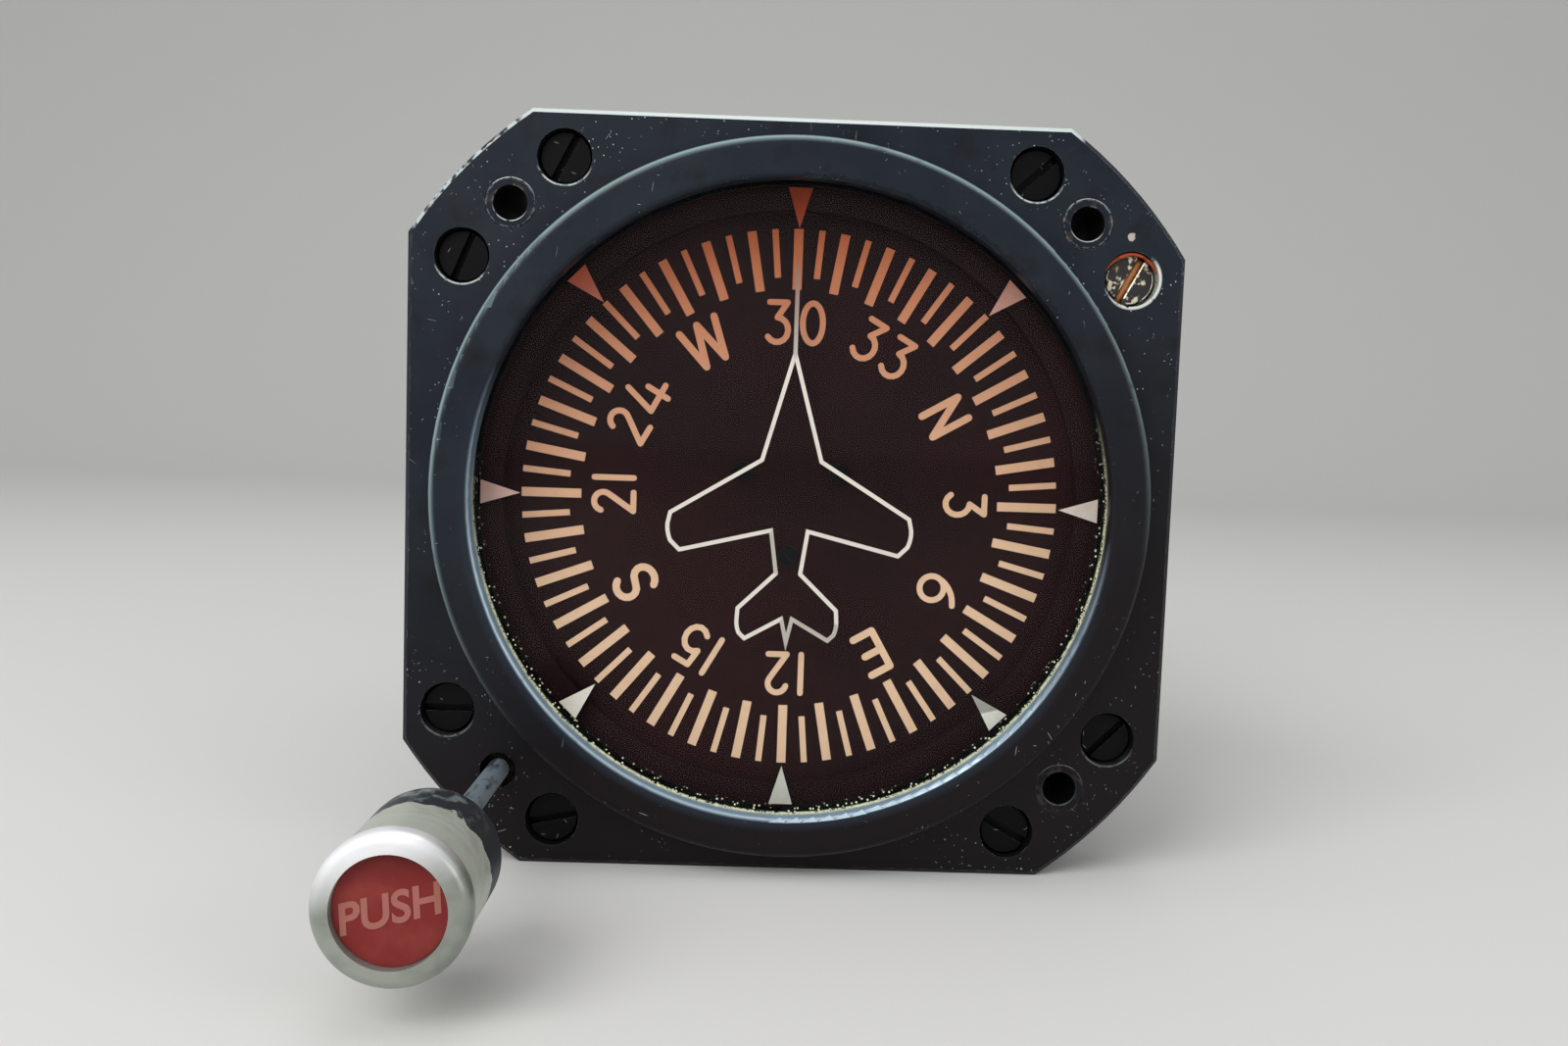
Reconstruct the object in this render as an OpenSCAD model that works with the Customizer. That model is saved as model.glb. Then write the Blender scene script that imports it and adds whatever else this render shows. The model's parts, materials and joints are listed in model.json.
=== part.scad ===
// Directional gyro indicator for a 3-1/8 in instrument panel cut-out.
// Millimetres. The origin is the centre of the flange's front face, on the dial axis.
// The dial looks along -Y and +Z is up.

/* [Panel flange] */
// Width of the square flange
flange_w = 85; // [84.6:0.2:90]
// Height of the square flange
flange_h = 83.3; // [82.9:0.1:90]
// Distance from the panel holes' circle to the arcs that cut the flange corners
corner_margin = 6.444; // [6.3:0.002:7.5]
// Thickness of the bezel's flange
flange_t = 5; // [4.6:0.1:7]
// Bevel along the flange's front edge
flange_bevel = 0.5; // [0.2:0.1:1]
// Side of the square on which the panel holes and the knob shaft stand
mount_pitch = 62.87; // [62.6:0.01:63.2]
// Diameter of the three panel screw holes
mount_hole_d = 3.7; // [3.2:0.1:4.2]
// Wall of the bushings that line the panel holes
mount_bushing_wall = 0.95; // [0.6:0.05:1.1]

/* [Raised ring] */
// Distance from the side of the ring to the flange's nearer edge
ring_margin = 2.5; // [2.1:0.1:3]
// Height of the ring in front of the flange
ring_h = 3.9; // [3.2:0.1:5]
// Thickness of the ring from its side to its opening
ring_wall = 4.55; // [4.3:0.05:4.9]
// Rounding of the ring's outer front edge
ring_round = 1.1; // [0.4:0.1:1.4]
// Rounding of the ring's inner front edge
lip_round = 0.6; // [0.2:0.1:0.8]

/* [Bezel screws] */
// Distance from the dial axis to the screws along the short offset
screw_near = 25.65; // [25.3:0.05:26]
// Distance of the upper and lower screws from the flange's edge
screw_edge = 5.07; // [4.8:0.01:5.4]
// Distance of the side screws from the flange's edge
side_screw_edge = 5.92; // [5.6:0.02:6.2]
// How far the screw beside the knob is moved up the flange's left edge
screw_shift = 1.3; // [0:0.1:1.6]
// How far the screw beside the knob is moved towards the flange's edge
screw_shift_out = 0.9; // [0:0.1:1]
// Diameter of the counterbores
counterbore_d = 6; // [5.6:0.1:6.2]
// Depth of the counterbores
counterbore_depth = 3.2; // [2.8:0.1:3.8]
// Diameter of the screw heads
screw_head_d = 5.3; // [4.6:0.1:5.5]
// Depth of the screw heads below the flange's face
screw_recess = 0.9; // [0.4:0.1:1.2]
// Diameter of the screw shanks
screw_d = 2.8; // [2.4:0.1:3]
// Width of the screwdriver slots
slot_w = 0.8; // [0.5:0.1:1]
// Depth of the screwdriver slots
slot_depth = 1; // [0.6:0.1:1.2]

/* [Glass] */
// How far the glass reaches under the ring
glass_lap = 1.9; // [1.7:0.1:2.1]
// Thickness of the cover glass
glass_t = 2.5; // [2:0.1:3]
// Depth of the glass behind the ring's front face
glass_recess = 2.05; // [1.6:0.05:2.6]
// Thickness of the gasket behind the glass
glass_gasket_t = 0.6; // [0.4:0.1:0.8]
// Thickness of the ring that holds the glass
retainer_t = 1.5; // [1:0.1:1.6]
// Width of the ring that holds the glass
retainer_w = 4.6; // [3.6:0.1:4.8]
// Thickness of the printed marks
print_t = 0.1; // [0.06:0.02:0.2]

/* [Index marks] */
// Gap from the triangles' bases to the opening
index_gap = 0.3; // [0.2:0.05:1]
// Length of the triangles
index_len = 4.37; // [3.6:0.01:5]
// Width of the triangles' bases
index_w = 2.65; // [2:0.05:3.2]
// Span of the aeroplane outline
symbol_span = 26.6; // [24:0.2:28]
// Gap from the triangles' points to the lubber line
lubber_gap = 3.73; // [3:0.01:6]
// Line width of the aeroplane outline
outline_w = 0.45; // [0.3:0.05:0.7]

/* [Compass card] */
// Distance from the edge of the compass card to the ring's opening
card_margin = 1.9; // [1.5:0.1:2.7]
// Thickness of the compass card
card_t = 0.8; // [0.6:0.1:1.2]
// Gap from the glass to the card's face
card_gap = 2.85; // [2.6:0.05:3.4]
// Distance from the ticks to the edge of the card
tick_margin = 2.43; // [2.1:0.01:3.3]
// Length of the ticks at each ten degrees
long_tick = 6.7; // [5:0.1:7.2]
// Length of the ticks at each five degrees
short_tick = 5.35; // [4:0.05:6]
// Width of the ticks at each ten degrees
long_tick_w = 1.02; // [0.8:0.02:1.2]
// Width of the ticks at each five degrees
short_tick_w = 0.7; // [0.5:0.02:0.9]
// Distance from the ticks to the middle of the heading figures
figure_drop = 3.67; // [3.3:0.01:4.4]
// Height of the heading figures
figure_h = 5.1; // [4:0.1:5.6]
// Height of the cardinal letters
letter_h = 5.4; // [4.6:0.1:6]
// Line width of the heading figures
figure_w = 0.66; // [0.4:0.02:0.8]
// Line width of the cardinal letters
letter_w = 0.82; // [0.5:0.02:1]

/* [Caging knob] */
// Direction of the knob shaft from the dial axis, clockwise from the right
knob_corner = 135.6; // [134.6:0.1:136]
// Diameter of the knob
knob_d = 12.6; // [11:0.1:14]
// Length of the knob
knob_len = 14.9; // [12:0.1:18]
// How far the knob's front lip stands out from its body
knob_lip = 0.2; // [0:0.1:0.4]
// Distance of the knob's back from the flange
knob_standoff = 26.9; // [20:0.1:32]
// Diameter of the disc in the knob's face
knob_face_d = 9.4; // [8:0.1:10]
// Diameter of the knob shaft
shaft_d = 2.4; // [2.2:0.1:2.8]
// Travel of the knob when it is pushed
knob_travel = 5; // [4:0.1:5.5]
// Wire diameter of the return spring
spring_wire_d = 0.44; // [0.3:0.02:0.5]
// Turns of the return spring
spring_turns = 6; // [4:1:6]

/* [Case] */
// Distance from the side of the case to the flange's nearer edge
case_margin = 2.45; // [2.2:0.05:2.65]
// Wall of the case
case_wall = 1.7; // [1.5:0.1:1.9]
// Thickness of the case's front flange
case_flange_t = 4.5; // [4:0.1:6]
// Length of the case's lugs behind that flange, round the panel holes
lug_len = 5.5; // [3:0.5:8]
// Distance from the middle of the gyro to the back end of the case
rear_room = 28; // [27.6:0.1:39]
// Thickness of the case's rear flange
rear_flange_t = 4; // [3:0.1:6]
// Width of the case's rear flange
rear_lip = 2.45; // [2.3:0.05:3]
// Thickness of the rear cover
cover_t = 3.5; // [3:0.1:5]
// Thickness of the case gaskets
gasket_t = 0.5; // [0.3:0.1:0.8]

/* [Rear fittings] */
// Thread tap radius of the quarter-inch vacuum port
port_r = 5.56; // [5:0.01:6]
// Length of the vacuum port behind the cover
port_len = 8; // [6:0.5:14]
// Offset of the vacuum port from the axis, to the right and down
port_offset = 17; // [15:0.5:19]
// Diameter of the filter cap
filter_cap_d = 26; // [24:0.5:28]
// Height of the filter cap
filter_cap_h = 8; // [6:0.5:12]
// Offset of the filter from the axis, to the left and up
filter_offset = 13; // [11:0.5:15]

/* [Gear train] */
// Teeth of the gear behind the card
card_teeth = 72; // [72:4:72]
// Teeth of the set gear
set_teeth = 14; // [14:1:14]
// Teeth of the pinion on the knob shaft
pinion_teeth = 9; // [9:1:9]
// Width of the spur gears
spur_w = 2; // [1.6:0.1:2.2]
// Teeth of each bevel gear
bevel_teeth = 40; // [40:4:40]
// Distance from the case's bore to the pitch circle of the bevel gears' heels
gyro_room = 12.5; // [12.3:0.1:12.9]
// Face width of the bevel teeth
bevel_face = 3; // [2.4:0.1:3.2]
// Diameter of the card's shaft
card_shaft_d = 3; // [2.6:0.1:3.2]
// Axial gap left between the pinion and the set gear when the knob is pushed home
mesh_gap = 0.3; // [0.2:0.1:0.5]

/* [Gyro] */
// Distance from the bevel gears' pitch circle to the outer gimbal's ring
gimbal_gap = 4.6; // [4.4:0.1:4.8]
// Radial thickness of the outer gimbal's ring
gimbal_wall = 2.4; // [2.2:0.1:2.5]
// Width of the outer gimbal's ring
gimbal_w = 6; // [5:0.1:6.4]
// Gap from the outer gimbal's ring to the rotor frame's ring
frame_ring_gap = 1.1; // [1:0.1:1.4]
// Radial thickness of the rotor frame's ring
frame_ring_wall = 2.7; // [2.4:0.1:2.7]
// Width of the rotor frame's ring
frame_ring_w = 5; // [4:0.1:5.4]
// Gap from the rotor frame's ring to the rotor
rotor_gap = 1; // [1:0.1:1.6]
// Width of the rotor
rotor_w = 9; // [7:0.1:9]
// Air pockets around the rotor
rotor_pockets = 24; // [12:2:28]
// Diameter of the gimbal's vertical pivots
pivot_d = 3; // [2.4:0.1:3.2]
// Diameter of the small pivots and of the rotor's axle
small_pivot_d = 2; // [1.6:0.1:2.2]

/* [Clearances] */
// Radial clearance of a pin or shaft that turns
running = 0.03; // [0.02:0.01:0.08]
// Radial clearance of a piece that seats in another
seat = 0.1; // [0.05:0.05:0.2]

/* [Hidden] */
$fn = 64;
eps = 0.01; // overlap of forms that are joined
over = 1; // how far a cutter runs past what it cuts
play = 0.1; // axial gap of a piece that turns beside another
end_play = 0.2; // axial gap at the ends of the card's hub
thread_tail = 0.5; // length left free at the end of a tapped hole

// Radii about the dial axis; the round pieces follow the flange's shorter side
flange_r = min(flange_w, flange_h) / 2;
ring_r = flange_r - ring_margin;
opening_r = ring_r - ring_wall;
glass_r = opening_r + glass_lap;
bezel_bore_r = glass_r + seat;
retainer_hole_r = bezel_bore_r - retainer_w;
index_base_r = opening_r - index_gap;
index_tip_r = index_base_r - index_len;
card_r = opening_r - card_margin;
tick_outer_r = card_r - tick_margin;
figure_r = tick_outer_r - long_tick - figure_drop;
case_r = flange_r - case_margin;
bore_r = case_r - case_wall;
plate_r = bore_r - 2 * seat;
rear_r = case_r + rear_lip;
mount_r = mount_hole_d / 2;
bushing_r = mount_r + mount_bushing_wall;
mount_at = mount_pitch / 2;
shaft_rho = mount_at * sqrt(2);
shaft_x = shaft_rho * cos(knob_corner);
shaft_z = -shaft_rho * sin(knob_corner);
shaft_r = shaft_d / 2;
corner_r = shaft_rho + corner_margin;
bevel_r = bore_r - gyro_room;

// Front to back, in order along the dial axis
glass_y = glass_recess - ring_h;
glass_back = glass_y + glass_t;
retainer_y = glass_back + glass_gasket_t;
card_y = glass_back + card_gap;
card_back = card_y + card_t;
case_y = flange_t + gasket_t;
case_flange_back = case_y + case_flange_t;
lug_back = case_flange_back + lug_len;
pinion_w = 2.5;
bushing_tail = 3.6;
bushing_back = flange_t + bushing_tail;
pinion_space = 0.6;
pinion_y = bushing_back + pinion_space;
gear_y = pinion_y + pinion_w + knob_travel + mesh_gap;
gear_back = gear_y + spur_w;
gear_space = 2;
plate_y = gear_back + gear_space;
plate_t = 4;
plate_back = plate_y + plate_t;
bearing_w = 3;
boss_front = 1;
boss_tail = 7;
boss_y = plate_y - boss_front;
boss_back = plate_back + boss_tail;
bevel_back_t = 1.6;
bevel_hub = 2.2;
heel_y = boss_back + end_play + bevel_hub + bevel_back_t;
gimbal_y = heel_y + bevel_r;
case_end = gimbal_y + rear_room;
cover_y = case_end + gasket_t;
cover_back = cover_y + cover_t;

// Spur gears share one module, so that the train just reaches from the card to the knob shaft
gear_m = 2 * shaft_rho / (card_teeth + 2 * set_teeth + pinion_teeth);
card_gear_r = gear_m * card_teeth / 2;
set_gear_r = gear_m * set_teeth / 2;
pinion_r = gear_m * pinion_teeth / 2;
set_rho = card_gear_r + set_gear_r;
spur_add = 0.8 * gear_m;
spur_ded = 1.05 * gear_m;
spur_teeth = [0.24, 0.60]; // tooth widths at tip and root, as shares of the pitch
bevel_m = 2 * bevel_r / bevel_teeth;
bevel_add = 0.7 * bevel_m;
bevel_ded = 0.95 * bevel_m;
bevel_tooth = [0.22, 0.58];
bevel_rim = 0.3;
bevel_web_r = bevel_r - bevel_ded - bevel_rim;

// Corner lobe of the case, round the knob shaft
lobe_inset = 0.05;
lobe_wall = 1.4;
lobe_cap = 1.5;
lobe_root = bore_r - 4;
ear_gap = 0.4;
lobe_r = corner_r - shaft_rho - lobe_inset;
pocket_r = lobe_r - lobe_wall;
lug_wall = 2.8;
lug_r = bushing_r + lug_wall;
ear_r = pocket_r - ear_gap;

// Caging lever, in a plane through the dial axis and the knob shaft
lever_case_gap = 2.494;
lever_rho = bore_r - lever_case_gap;
lever_stand = 5;
lever_y = plate_back + lever_stand;
lever_w = 3;
lever_side_gap = 0.4;
lever_hub_r = 2.2;
lever_finger = 17;
lever_finger_r = 1.2;
lever_over = 1.85;
lever_reach = shaft_rho - lever_rho + lever_over;
lever_face = 1.4;
lever_gap = 0.3;
lever_pin_r = 0.9;
lug_t = 1.6;
lug_in = 2.4;
lug_out = 2;
lug_face = lever_w / 2 + lever_side_gap;
lever_pin_end = lug_face + lug_t;
pocket_depth = 8;
pocket_back = lever_y + pocket_depth;
shaft_end = lever_y - lever_face - lever_gap;

// Gyro
gimbal_r = bevel_r - gimbal_gap;
gimbal_in_r = gimbal_r - gimbal_wall;
frame_ring_r = gimbal_in_r - frame_ring_gap;
frame_ring_in_r = frame_ring_r - frame_ring_wall;
rotor_r = frame_ring_in_r - rotor_gap;
pivot_r = pivot_d / 2;
pivot_inset = 0.4;
small_r = small_pivot_d / 2;
small_boss_r = 3.4;
small_boss_in = 0.2;
small_bearing_r = 2.5;
small_bearing_w = 2.2;
arm_gap = 1.6;
arm_z = bevel_r + bevel_back_t + arm_gap;
arm_t = 5;
arm_w = 16;
gimbal_bearing_r = 4;
gimbal_bearing_w = 4;
gimbal_bearing_z = arm_z + (arm_t - gimbal_bearing_w) / 2;
trunnion_r = 4;
trunnion_in = 0.8;
trunnion_out = 1.8;

// Corner signs of the panel holes; the fourth corner has the knob
HOLE_CORNERS = [[-1, 1], [1, 1], [1, -1]];
// Turns of the same corners about the dial axis, clockwise from the right
LUG_TURNS = [-135, -45, 45];
// Bezel screws: corner signs, whether the long offset is sideways, and the slot's angle
SCREWS = [[-1, 1, 0, 63], [-1, 1, 1, 67], [1, 1, 0, 42], [1, -1, 1, 45],
    [-1, -1, 1, 0], [-1, -1, 0, 12], [1, -1, 0, 150]];
SEALED = [1, 1, 1, 62];

// Shapes along an axis

module y_cyl(r, y0, y1, x = 0, z = 0) {
    translate([x, y0, z]) rotate([-90, 0, 0]) cylinder(r = r, h = y1 - y0);
}

module z_cyl(r, z0, z1) {
    translate([0, 0, z0]) cylinder(r = r, h = z1 - z0);
}

module x_cyl(r, x0, x1) {
    translate([x0, 0, 0]) rotate([0, 90, 0]) cylinder(r = r, h = x1 - x0);
}

module y_ring(r_out, r_in, y0, y1, x = 0, z = 0) {
    difference() {
        y_cyl(r_out, y0, y1, x, z);
        y_cyl(r_in, y0 - over, y1 + over, x, z);
    }
}

// Extrudes an outline drawn in x and z from y0 back to y1
module y_plate(y0, y1) {
    translate([0, y1, 0]) rotate([90, 0, 0]) linear_extrude(y1 - y0) children();
}

// Local x runs out to the knob's corner, local z along the corner
module to_knob() {
    rotate([0, knob_corner, 0]) children();
}

module at_gyro() {
    translate([0, gimbal_y, 0]) children();
}

// A slotted screw along +Y: head from y to the seat, shank to the end
module slotted_screw(x, z, head_y, seat_y, end_y, head_r, shank_r, width, depth, angle) {
    difference() {
        union() {
            y_cyl(head_r, head_y, seat_y, x, z);
            y_cyl(shank_r, seat_y - eps, end_y, x, z);
        }
        translate([x, head_y, z]) rotate([0, -angle, 0])
            cube([2 * head_r + over, 2 * depth, width], center = true);
    }
}

// The screw on the left edge beside the knob stands off the pattern
function screw_xz(s) =
    let (moved = s == [-1, -1, 1, s[3]])
    s[2] == 1
        ? [s[0] * (flange_w / 2 - side_screw_edge) - (moved ? screw_shift_out : 0),
            s[1] * screw_near + (moved ? screw_shift : 0)]
        : [s[0] * screw_near, s[1] * (flange_h / 2 - screw_edge)];

// Gear outline with straight-sided teeth
function gear_points(n, r, add, ded, share) =
    let (edge = [-share[1] / 2, -share[0] / 2, share[0] / 2, share[1] / 2],
        rad = [r - ded, r + add, r + add, r - ded])
    [for (i = [0:n - 1], k = [0:3])
        let (a = 360 / n * (i + edge[k])) [rad[k] * cos(a), rad[k] * sin(a)]];

// Strokes: an open path of points becomes a band of width w
function unit(v) = v / norm(v);
function side(v) = [-v[1], v[0]];
function path_normal(p, i) =
    let (n = len(p) - 1, a = i > 0 ? side(unit(p[i] - p[i - 1])) : undef,
        b = i < n ? side(unit(p[i + 1] - p[i])) : undef)
    a == undef ? b : b == undef ? a : (a + b) / (1 + a * b);
function cap(p, dir, w, n = 6) =
    [for (k = [1:n - 1]) let (a = 90 - 180 * k / n) p + w / 2 * (cos(a) * dir + sin(a) * side(dir))];
function band(p, w) = let (n = len(p) - 1) concat(
    [for (i = [0:n]) p[i] + path_normal(p, i) * w / 2],
    cap(p[n], unit(p[n] - p[n - 1]), w),
    [for (i = [n:-1:0]) p[i] - path_normal(p, i) * w / 2],
    cap(p[0], unit(p[0] - p[1]), w));
function loop_normal(p, i) =
    let (n = len(p), a = side(unit(p[i] - p[(i + n - 1) % n])), b = side(unit(p[(i + 1) % n] - p[i])))
    (a + b) / (1 + a * b);
function loop_shift(p, d) = [for (i = [0:len(p) - 1]) p[i] + loop_normal(p, i) * d];
function arc(cx, cy, rx, ry, a0, a1, n) =
    [for (i = [0:n]) let (a = a0 + (a1 - a0) * i / n) [cx + rx * cos(a), cy + ry * sin(a)]];

module closed_stroke(p, w) {
    difference() {
        polygon(loop_shift(p, w / 2));
        polygon(loop_shift(p, -w / 2));
    }
}

// Figures are one unit high about their middle: open strokes first, closed ones (clockwise) below
function open_strokes(c) =
    c == "1" ? [[[0, -0.5], [0, 0.5]]] :
    c == "2" ? [arc(0, 0.265, 0.235, 0.235, 165, -38, 10), [[0.185, 0.12], [-0.237, -0.5]],
        [[-0.237, -0.5], [0.237, -0.5]]] :
    c == "3" ? [[[-0.24, 0.5], [0.21, 0.5]], [[0.21, 0.5], [-0.04, 0.12]],
        arc(-0.04, -0.19, 0.28, 0.31, 88, -145, 10)] :
    c == "4" ? [[[-0.16, 0.5], [-0.37, -0.3]], [[-0.37, -0.3], [0.37, -0.28]],
        [[0.12, 0.08], [0.12, -0.5]]] :
    c == "5" ? [[[0.22, 0.5], [-0.18, 0.5]], [[-0.18, 0.5], [-0.22, 0.07]],
        arc(-0.02, -0.17, 0.28, 0.33, 134, -140, 10)] :
    c == "6" ? [arc(0.455, -0.187, 0.768, 0.768, 170, 116, 7)] :
    c == "N" ? [[[-0.287, -0.5], [-0.287, 0.5]], [[-0.287, 0.5], [0.287, -0.5]],
        [[0.287, -0.5], [0.287, 0.5]]] :
    c == "E" ? [[[-0.26, -0.5], [-0.26, 0.5]], [[-0.26, 0.5], [0.26, 0.5]], [[-0.26, 0.01], [0.19, 0.01]],
        [[-0.26, -0.5], [0.26, -0.5]]] :
    c == "S" ? [concat(arc(0.01, 0.25, 0.27, 0.25, 30, 235, 9),
        arc(-0.01, -0.25, 0.29, 0.25, 55, -150, 9))] :
    c == "W" ? [[[-0.48, 0.5], [-0.26, -0.5]], [[-0.26, -0.5], [0, 0.5]], [[0, 0.5], [0.26, -0.5]],
        [[0.26, -0.5], [0.48, 0.5]]] : [];
function closed_strokes(c) =
    c == "0" ? [arc(0, 0, 0.255, 0.5, 345, 0, 23)] :
    c == "6" ? [arc(0, -0.187, 0.313, 0.313, 342, 0, 19)] : [];
// Half the width of a figure between the middles of its outer strokes
function figure_half(c) = c == "1" ? 0 : c == "4" ? 0.37 : c == "6" ? 0.313 : 0.25;
figure_gap = 0.358;

// Right half of the aeroplane outline from the nose to the tail, for a half span of one
plane_shape = concat([[0, 1.226], [0.248, 0.338], [1, -0.12]], arc(0.722, -0.233, 0.3, 0.3, 3, -24, 3),
    [[0.917, -0.432], [0.154, -0.248], [0.102, -0.609], [0.414, -0.91]],
    arc(0.195, -1.023, 0.226, 0.226, 5, -25, 3), [[0.35, -1.165], [0.045, -0.992], [0, -1.188]]);
plane_half = plane_shape * symbol_span / 2;
lubber_top = index_tip_r - lubber_gap;
lubber_point = 0.5;

// Bezel and glass

module flange_outline() {
    intersection() {
        square([flange_w, flange_h], center = true);
        circle(r = corner_r, $fn = 96);
    }
}

module flange_block(y0, y1) {
    y_plate(y0, y1) flange_outline();
}

// Material taken off the front edge of the flange, at 45 degrees
module flange_edge_cut() {
    side_l = 2 * corner_r;
    for (s = [-1, 1]) {
        translate([s * flange_w / 2, 0, 0]) rotate([0, 0, 45])
            cube([flange_bevel * sqrt(2), flange_bevel * sqrt(2), side_l], center = true);
        translate([0, 0, s * flange_h / 2]) rotate([45, 0, 0])
            cube([side_l, flange_bevel * sqrt(2), flange_bevel * sqrt(2)], center = true);
    }
    rotate([-90, 0, 0]) rotate_extrude($fn = 96)
        polygon([[corner_r - flange_bevel, -eps], [corner_r + over, -eps],
            [corner_r + over, flange_bevel + over], [corner_r, flange_bevel]]);
}

module ring_profile() {
    r_out = ring_r;
    r_in = opening_r;
    difference() {
        translate([r_in, -ring_h]) square([r_out - r_in, ring_h + eps]);
        difference() {
            translate([r_out - ring_round, -ring_h - over]) square(ring_round + over);
            translate([r_out - ring_round, ring_round - ring_h]) circle(r = ring_round);
        }
        difference() {
            translate([r_in - over, -ring_h - over]) square(lip_round + over);
            translate([r_in + lip_round, lip_round - ring_h]) circle(r = lip_round);
        }
    }
}

module screw_holes() {
    for (s = concat(SCREWS, [SEALED])) {
        p = screw_xz(s);
        y_cyl(counterbore_d / 2, -over, counterbore_depth, p[0], p[1]);
        y_cyl(screw_d / 2 + seat, 0, flange_t + over, p[0], p[1]);
    }
}

module panel_holes(r, y0, y1) {
    for (c = HOLE_CORNERS) y_cyl(r, y0, y1, c[0] * mount_at, c[1] * mount_at);
}

module front_bezel() {
    color("#2b3038") difference() {
        union() {
            difference() {
                flange_block(0, flange_t);
                flange_edge_cut();
                y_cyl(opening_r, -over, flange_t + over);
            }
            rotate([-90, 0, 0]) rotate_extrude($fn = 128) ring_profile();
        }
        y_cyl(bezel_bore_r, glass_y, flange_t + over);
        screw_holes();
        panel_holes(bushing_r, -over, flange_t + over);
        y_cyl(shaft_r + shaft_hole_gap, -over, flange_t, shaft_x, shaft_z);
        y_cyl(bushing_seat_r, bushing_y, flange_t + over, shaft_x, shaft_z);
    }
}

module mount_bushings() {
    color("#6f6a60") for (c = HOLE_CORNERS)
        y_ring(bushing_r, mount_r, 0, lug_back, c[0] * mount_at, c[1] * mount_at);
}

module cover_glass() {
    color([0.75, 0.85, 0.88, 0.3]) y_cyl(glass_r, glass_y, glass_back, $fn = 128);
}

module index_marks() {
    color("#e9d9b4") for (i = [0:7]) rotate([0, 45 * i, 0])
        y_plate(glass_back, glass_back + print_t)
            polygon([[0, index_tip_r], [index_w / 2, index_base_r], [-index_w / 2, index_base_r]]);
}

module aeroplane_symbol() {
    half = len(plane_half);
    loop = concat(plane_half, [for (i = [half - 2:-1:1]) [-plane_half[i][0], plane_half[i][1]]]);
    nose = plane_half[0][1];
    color("#e6dccb") {
        y_plate(glass_back, glass_back + print_t) closed_stroke(loop, outline_w);
        y_plate(glass_back, glass_back + print_t)
            polygon([[-outline_w / 2, nose], [outline_w / 2, nose],
                [outline_w / 2, lubber_top - lubber_point], [0, lubber_top],
                [-outline_w / 2, lubber_top - lubber_point]]);
    }
}

module glass_gasket() {
    color("#151515") y_ring(glass_r, opening_r, glass_back, retainer_y);
}

module retainer_ring() {
    color("#101012") y_ring(bezel_bore_r - running, retainer_hole_r, retainer_y,
        retainer_y + retainer_t);
}

// Compass card and what turns with it

card_screw_r = 0.65;
card_screw_head_r = 1.1;
card_screw_head = 0.5;
card_screw_slot = [0.35, 0.3];
card_screw_depth = 1.6;
card_screw_at = 6.3;

module card_screw_places() {
    for (a = [30, 150, 270]) rotate([0, -a, 0]) translate([card_screw_at, 0, 0]) children();
}

module compass_card() {
    color("#17100f") difference() {
        y_cyl(card_r, card_y, card_back, $fn = 128);
        card_screw_places() y_cyl(card_screw_r, card_y - over, card_back + over);
    }
}

module figure_strokes(c, h, w) {
    for (s = open_strokes(c)) polygon(band(s * h, w));
    for (s = closed_strokes(c)) closed_stroke(s * h, w);
}

// One figure, or two set side by side about the middle
module figure_text(chars, size, w) {
    h = size - w;
    if (len(chars) == 1) figure_strokes(chars[0], h, w);
    else {
        translate([-(figure_half(chars[1]) + figure_gap / 2) * h, 0]) figure_strokes(chars[0], h, w);
        translate([(figure_half(chars[0]) + figure_gap / 2) * h, 0]) figure_strokes(chars[1], h, w);
    }
}

module card_markings() {
    labels = ["30", "33", "N", "3", "6", "E", "12", "15", "S", "21", "24", "W"];
    color("#dfae86") {
        for (i = [0:71]) {
            long = i % 2 == 0;
            l = long ? long_tick : short_tick;
            w = long ? long_tick_w : short_tick_w;
            rotate([0, 5 * i, 0]) translate([-w / 2, card_y - print_t, tick_outer_r - l])
                cube([w, print_t, l]);
        }
        for (i = [0:11]) {
            letter = i % 3 == 2;
            rotate([0, 30 * i, 0]) y_plate(card_y - print_t, card_y) translate([0, figure_r])
                figure_text(labels[i], letter ? letter_h : figure_h, letter ? letter_w : figure_w);
        }
    }
}

module card_screws() {
    color("#1d1917") card_screw_places() slotted_screw(0, 0, card_y - card_screw_head, card_y,
        card_back + card_screw_depth, card_screw_head_r, card_screw_r, card_screw_slot[0],
        card_screw_slot[1], 40);
}

hub_flange_t = 2;
hub_flange_r = 9;
hub_tube_r = 4.2;
hub_end_r = 2.4;
gear_seat_r = 5;
gear_shoulder_r = 7.5;
gear_shoulder_t = 1.5;

module card_hub() {
    color("#b9975a") difference() {
        union() {
            y_cyl(hub_flange_r, card_back, card_back + hub_flange_t);
            y_cyl(hub_tube_r, card_back, gear_y);
            y_cyl(gear_shoulder_r, gear_y - gear_shoulder_t, gear_y);
            y_cyl(gear_seat_r, gear_y - eps, gear_back);
            y_cyl(hub_end_r, gear_back - eps, boss_y - end_play);
        }
        y_cyl(card_shaft_d / 2, card_back - over, boss_y);
        card_screw_places() y_cyl(card_screw_r, card_back - over, card_back + card_screw_depth);
    }
}

gear_hole_r = 5.5;
gear_hole_at = 17;

module card_gear() {
    color("#c9a45c") difference() {
        y_plate(gear_y, gear_back) rotate(-knob_corner)
            polygon(gear_points(card_teeth, card_gear_r, spur_add, spur_ded, spur_teeth));
        y_cyl(gear_seat_r, gear_y - over, gear_back + over);
        for (i = [0:5]) rotate([0, 60 * i, 0])
            y_cyl(gear_hole_r, gear_y - over, gear_back + over, gear_hole_at, 0);
    }
}

card_shaft_tail = 2;

module card_shaft() {
    color("#c2c4c6") y_cyl(card_shaft_d / 2, card_back, heel_y + card_shaft_tail);
}

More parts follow.
